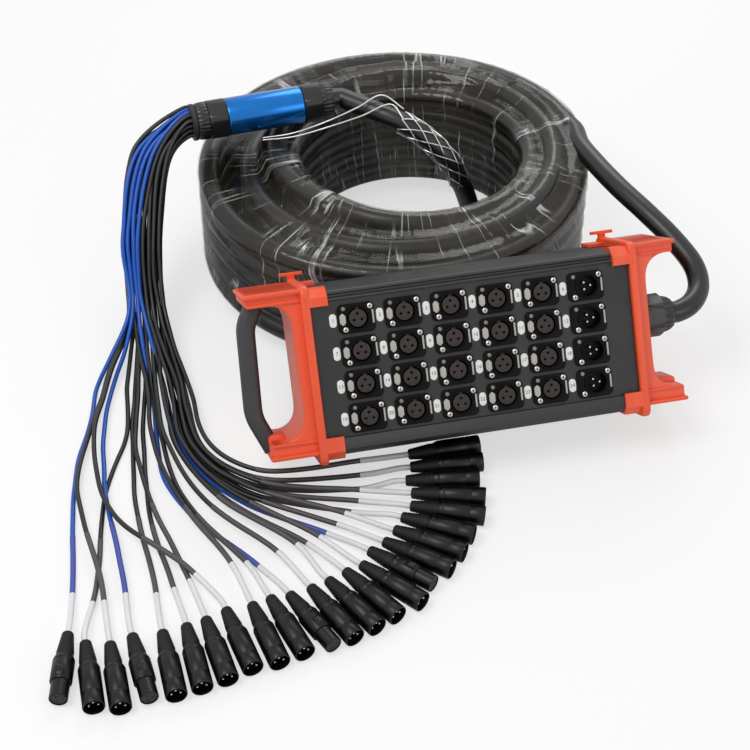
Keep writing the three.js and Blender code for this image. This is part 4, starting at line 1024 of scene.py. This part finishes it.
wires = [grip_wire(wire / GRIP_WIRES + 0.02, way) for wire in range(GRIP_WIRES) for way in (1, -1)]
for offset, route in (((0, -8, 10), BAIL_ROUTE), ((4, 6, 12), BAIL_SPREAD)):
    wires.append(sweep(smooth_line([grip_core[0] + offset, *route], 3), circle(BAIL_WIRE, 8)))
wires.append(sweep(smooth_line([BAIL_SPREAD[-1], BAIL_ROUTE[-1]], 1), circle(BAIL_WIRE, 8)))
grip = made("mesh_grip", together(*wires), steel_paint, sharp=60, replaces=["cable_grip"], slot="grip_steel")


def past(angle, start):
    """How far a winding has gone on at each direction since it passed a start, as a share of a
    turn. It falls back to 0 over the last eighth, so that film can span the step."""
    share = ((angle - start) / (2 * math.pi)) % 1.0
    return np.minimum(share, (1 - share) * 7)


def film_section():
    """Once round the film's section: each point's share of the way across and up between the
    corner arcs' middles, and the outward direction there. A corner has three points of its own."""
    loop = []
    for start, stop, facing, count in (
        ((0, 0), (1, 0), -90, 10), ((1, 0), (1, 1), 0, 36),
        ((1, 1), (0, 1), 90, 20), ((0, 1), (0, 0), 180, 36),
    ):
        share = np.linspace(0, 1, count)[:, None]
        corner = np.full((3, 2), stop, float)
        turn = np.radians(facing + np.concatenate([np.zeros(count), [22.5, 45, 67.5]]))
        places = np.concatenate([np.array(start) * (1 - share) + np.array(stop) * share, corner])
        loop.append(np.column_stack([places, np.cos(turn), np.sin(turn)]))
    return np.concatenate(loop).T


def film_heights(directions, across, stepped):
    """The film's foot and top. The foot follows the lowest turns of the inner and the outer layer.
    The top follows the highest turn of each layer, and beside the turn that steps out over the top
    it falls away no faster than film that is stretched over it."""
    inner_low = past(-directions, -COIL_START)
    outer_low = past(-directions, -COIL_START + 2 * LAYER_TURNS * WHOLE_TURN)
    inner_top = past(directions, COIL_START - COIL_RISE_TURNS * WHOLE_TURN)
    middle_top = past(-directions, -COIL_START + LAYER_TURNS * WHOLE_TURN)
    outer_top = past(directions, COIL_START - (2 * LAYER_TURNS + COIL_RISE_TURNS) * WHOLE_TURN)
    low = FILM_LOW + COIL_PITCH * (inner_low * (1 - across) + outer_low * across)
    fall = np.maximum(1 - 2 * across, 0) * inner_top + np.maximum(2 * across - 1, 0) * outer_top
    fall = fall + (1 - np.abs(2 * across - 1)) * middle_top
    beside = np.maximum(np.abs(across - stepped / 2) * 4 - 0.8, 0) * 2
    fall = np.where(stepped <= STEP_END, np.minimum(fall, beside), fall)
    return low, TRUNK + COIL_PITCH * (COIL_RISE_TURNS - fall) + FILM_OFF


def film_creases(directions, section):
    """Sines of many waves round the coil, whose phases swing round the section; the lower half of
    their sum is cut off."""
    crease = np.zeros((len(directions), len(section)))
    for waves in CREASE_WAVES:
        crease += np.sin(waves * directions + 2.6 * np.sin(section + waves) + waves) / len(CREASE_WAVES)
    return np.maximum(crease, 0) ** 1.3


def film_surface():
    """A clear ring wound round the coil. At each direction its section is a rounded rectangle a
    little larger than the cables' own. It dips between the turns by a cosine of the height on its
    sides and of the way across on its top, and it is creased."""
    directions = np.arange(FILM_DIRECTIONS)[:, None] / FILM_DIRECTIONS * WHOLE_TURN
    across, up, out_side, out_up = film_section()
    section = np.arange(len(across)) / len(across) * WHOLE_TURN
    inner = COIL_INNER - TRUNK / 2 - FILM_OFF
    outer = COIL_INNER + (COIL_LAYERS - 1) * LAYER_STEP + TRUNK / 2 + FILM_OFF
    outer = outer + coil_swell(directions, COIL_LAYERS - 1)
    stepped = ((COIL_START - COIL_RISE_TURNS * WHOLE_TURN - directions) / WHOLE_TURN) % 1.0 / STEP_OUT_TURNS
    low, top = film_heights(directions, across, stepped)
    radius = inner + FILM_CORNER + across * (outer - inner - 2 * FILM_CORNER) + FILM_CORNER * out_side
    height = low + FILM_CORNER + up * (top - low - 2 * FILM_CORNER) + FILM_CORNER * out_up
    turns_before = np.where(across > 0.5, (COIL_LAYERS - 1) * LAYER_TURNS, 0)
    in_turn = (height - TRUNK / 2) / COIL_PITCH - (COIL_START - directions) / WHOLE_TURN + turns_before
    layer_share = (radius - inner) / (outer - inner) * COIL_LAYERS
    on_side, on_top = np.abs(out_side) > 0.99, (out_up > 0.99) & (stepped > STEP_END)
    dip = on_side * (1 - np.cos(WHOLE_TURN * in_turn)) * SIDE_DIP
    dip = dip + on_top * (1 + np.cos(WHOLE_TURN * layer_share)) * TOP_DIP
    out = film_creases(directions, section) * CREASE_HEIGHT * (out_up > -0.5) - dip
    radius, height = radius + out * out_side, np.maximum(height + out * out_up, 0.3)
    x = COIL_CENTRE[0] + radius * np.cos(directions)
    y = COIL_CENTRE[1] + radius * np.sin(directions)
    points = np.stack([x, y, height], -1)
    count, whole = len(across), FILM_DIRECTIONS * len(across)
    row, place = np.arange(FILM_DIRECTIONS)[:, None] * count, np.arange(count)
    after, beyond = (row + count) % whole, (place + 1) % count
    quads = np.stack([row + place, after + place, after + beyond, row + beyond], -1)
    slant = directions + 0.25 * section / WHOLE_TURN
    round_it = np.broadcast_to(section * 30, slant.shape)
    wind = np.stack([np.cos(slant) * COIL_MIDDLE, np.sin(slant) * COIL_MIDDLE, round_it], -1)
    milk = np.broadcast_to(np.maximum(-out_side, 0) * (1 - up), radius.shape)
    marks = {"milk": milk.ravel(), "wind": wind.reshape(-1, 3) * MM}
    return outward(points.reshape(-1, 3), [quads.reshape(-1, 4)]), marks


def film_finish():
    """Clear film: see-through but for a thin gloss, with painted white highlights along crisp creases
    that run across the winding, in patches, and a milky haze low on its inner side."""
    # olive is the film's tint; pale is the colour of its painted highlights and of its haze
    olive, pale = (0.034, 0.027, 0.013), (0.8, 0.82, 0.83)
    paint = Paint("film_paint", olive, 0.1, specular=0.4, coat=0.4, coat_roughness=0.08)
    wind = paint.attribute("wind", "Vector")
    patch = paint.noise(13, 3.0, (1, 1, 0.6), 0.6, wind)
    # Painted highlights: thin white streaks, folds and crumples along the film's creases
    crease_hair_highlights = paint.noise(150, 2.0, (1, 1, 0.1), 0.5, wind).line(0.5, 44.0)
    crease_hair_highlights = crease_hair_highlights * paint.noise(60, 3.0).step(0.45, 0.62)
    fold_highlights = paint.noise(42, 1.0, (1, 1, 0.12), 0.4, wind).line(0.52, 70.0)
    fold_highlights = fold_highlights * paint.noise(30, 2.0).step(0.4, 0.6)
    crumple_highlights = paint.noise(110, 2.0, (1, 1, 0.5), 0.5, wind).step(0.58, 0.68) * patch.step(0.64, 0.7)
    milk = paint.attribute("milk") * paint.noise(35, 4.0, (1, 1, 0.3), 0.5, wind).step(0.3, 0.75) * 0.3
    # white: the painted crease highlights plus the milky haze, mixed from olive to pale below
    white = (crease_hair_highlights * patch.step(0.53, 0.62) * 0.75 + fold_highlights * 0.7 + crumple_highlights * 0.7 + milk).clamp()
    paint.set("Base Color", white.colour(olive, pale))
    paint.bump(paint.noise(34, 3.0, (1, 1, 0.45), 0.5), 0.75, 0.003)
    sheet = paint.noise(7, 2.0, (1, 1, 0.7), 0.5, wind).step(0.4, 0.6)
    share = (white * 0.5 + sheet * 0.34 + 0.17).clamp()
    mixed_output(paint.tree, share, node(paint.tree, "BsdfTransparent"), paint.shader)
    return paint.material


film_form, film_marks = film_surface()
film = made("wrap_film", film_form, film_finish(), sharp=80, marks=film_marks)

tuple(gland_mouth[0] * MM)
cord_points(trunk_line)

# Plugs and tails


def plug_place(number):
    """Where a plug's back end lies, and its heading."""
    (tip_x, tip_y, degrees), _ = PLUGS_AND_FLOOR[number - 1]
    heading = math.radians(degrees)
    back_x, back_y = tip_x - PLUG_LENGTH * math.cos(heading), tip_y - PLUG_LENGTH * math.sin(heading)
    return (back_x, back_y, PLUG_RADIUS), heading


def round_axis(surface, radius, degrees):
    """The shape repeated round the x axis."""
    return together(*[moved(surface, (0, y, z)) for y, z in ring_places(radius, degrees)])


shell_back = [[25, 6.5], [26, 8.2], [29, 9.3], [30, 9.5], [31, 9.2], [31.8, 9.2], [32.4, 9.5]]
male_shell = turned(shell_back + [
    [55, 9.5], [55.5, 9.2], [56.4, 9.2], [57, 9.5], [68.2, 9.5], [69, 9.1], [69, 8.5], [68, 8.3], [58, 8.3],
], 48)
female_shell = turned(shell_back + [
    [51, 9.5], [52, 8.9], [52.2, 8], [68.3, 8], [69, 7.5], [69, 6.9], [68, 6.7],
], 48)
male_insert = turned([[57.5, 8.4], [58.3, 8.2]], 32)
plug_pin = turned([[57, 1.2], [66, 1.2], [66.8, 0.8], [67, 0.4]], 10)
plug_pins = round_axis(plug_pin, PLUG_PIN_RING, [0, 90, 180])
nose_disc = turned([[67.2, 6.6], [68.2, 6.5]], 32)
# nose_holes: flat discs painted black as the shade in the nose's contact holes
nose_holes = round_axis(turned([[68.1, 1.15], [68.3, 1.15]], 10), NOSE_HOLE_RING, [0, 120, 240])
boot_profile = [[0, 4.4], [0.6, 4.9]]
for rib in range(6):
    start, radius = 1.5 + rib * 3.4, 4.9 + rib * 0.42
    boot_profile += [
        [start, radius + 0.2], [start + 0.4, radius + 0.38],
        [start + 2.3, radius + 0.56], [start + 2.7, radius + 0.4],
    ]
boot = turned(boot_profile + [[23, 7.4], [25.6, 7.8], [26.2, 7.2]], 32)
latch_outline = [[39, 5.8], [51, 5.8], [51, 9.5], [48, 10.9], [42, 10.9], [39, 9.5]]
latch_form = prism(eased(latch_outline, 0.6), -3, 3, 0.6, axes="xzy")


def plug_pieces(number):
    """A plug's shell, boot, insert and pins or holes, and the latch button of a female one, which
    rides on its own body and is not among the pieces given back."""
    name = "plug_%02d" % number
    place, heading = plug_place(number)
    female = number in FEMALE

    def piece(suffix, surface, finish, **more):
        return made(name + suffix, moved(surface, place, heading), finish, **more)

    shell = female_shell if female else male_shell
    pieces = [
        piece("_shell", shell, shell_paint, replaces=[name], slot="plug_black"),
        piece("_boot", boot, boot_paint),
    ]
    if female:
        pieces += [piece("_insert", nose_disc, insert_paint), piece("_holes", nose_holes, hole_shade_paint)]
        latch = "latch_%02d" % number
        piece(
            "_latch_form", latch_form, shell_paint, body=latch + "_body", replaces=[latch],
            slot="latch_black")
    else:
        pieces += [piece("_insert", male_insert, rubber_paint), piece("_pins", plug_pins, pin_paint)]
    return pieces


def sleeve_pieces(number, line):
    """The grey or lavender sleeve on a tail's last stretch, and the white one in front of it."""
    back = line[::-1]
    reach = reach_along(back)
    grey = back[(reach > WHITE_REACH - SLEEVE_OVERLAP) & (reach < SLEEVE_REACH[number - 1])]
    white = back[reach < WHITE_REACH]
    grey_form = sweep(grey, circle(TAIL / 2 + GREY_WALL, 12))
    white_form = sweep(white, circle(TAIL / 2 + WHITE_WALL, 14))
    grey_finish = blue_sleeve_paint if number in FEMALE else grey_sleeve_paint
    return [
        made("grey_sleeve_%02d" % number, grey_form, grey_finish, sharp=50),
        made("white_sleeve_%02d" % number, white_form, white_sleeve_paint, sharp=50),
    ]


for number, line in tail_lines.items():
    pieces = plug_pieces(number)
    more = {"replaces": ["tail_bundle"], "slot": "tail_black"} if number == BUNDLE_STAND_IN else {}
    finish = blue_tail_paint if number in FEMALE else tail_paint
    tail = made("tail_%02d" % number, sweep(line, circle(TAIL / 2, 10)), finish, sharp=60, **more)
    pieces += sleeve_pieces(number, line)
    tuple(line[0] * MM)
    cord_points(line)
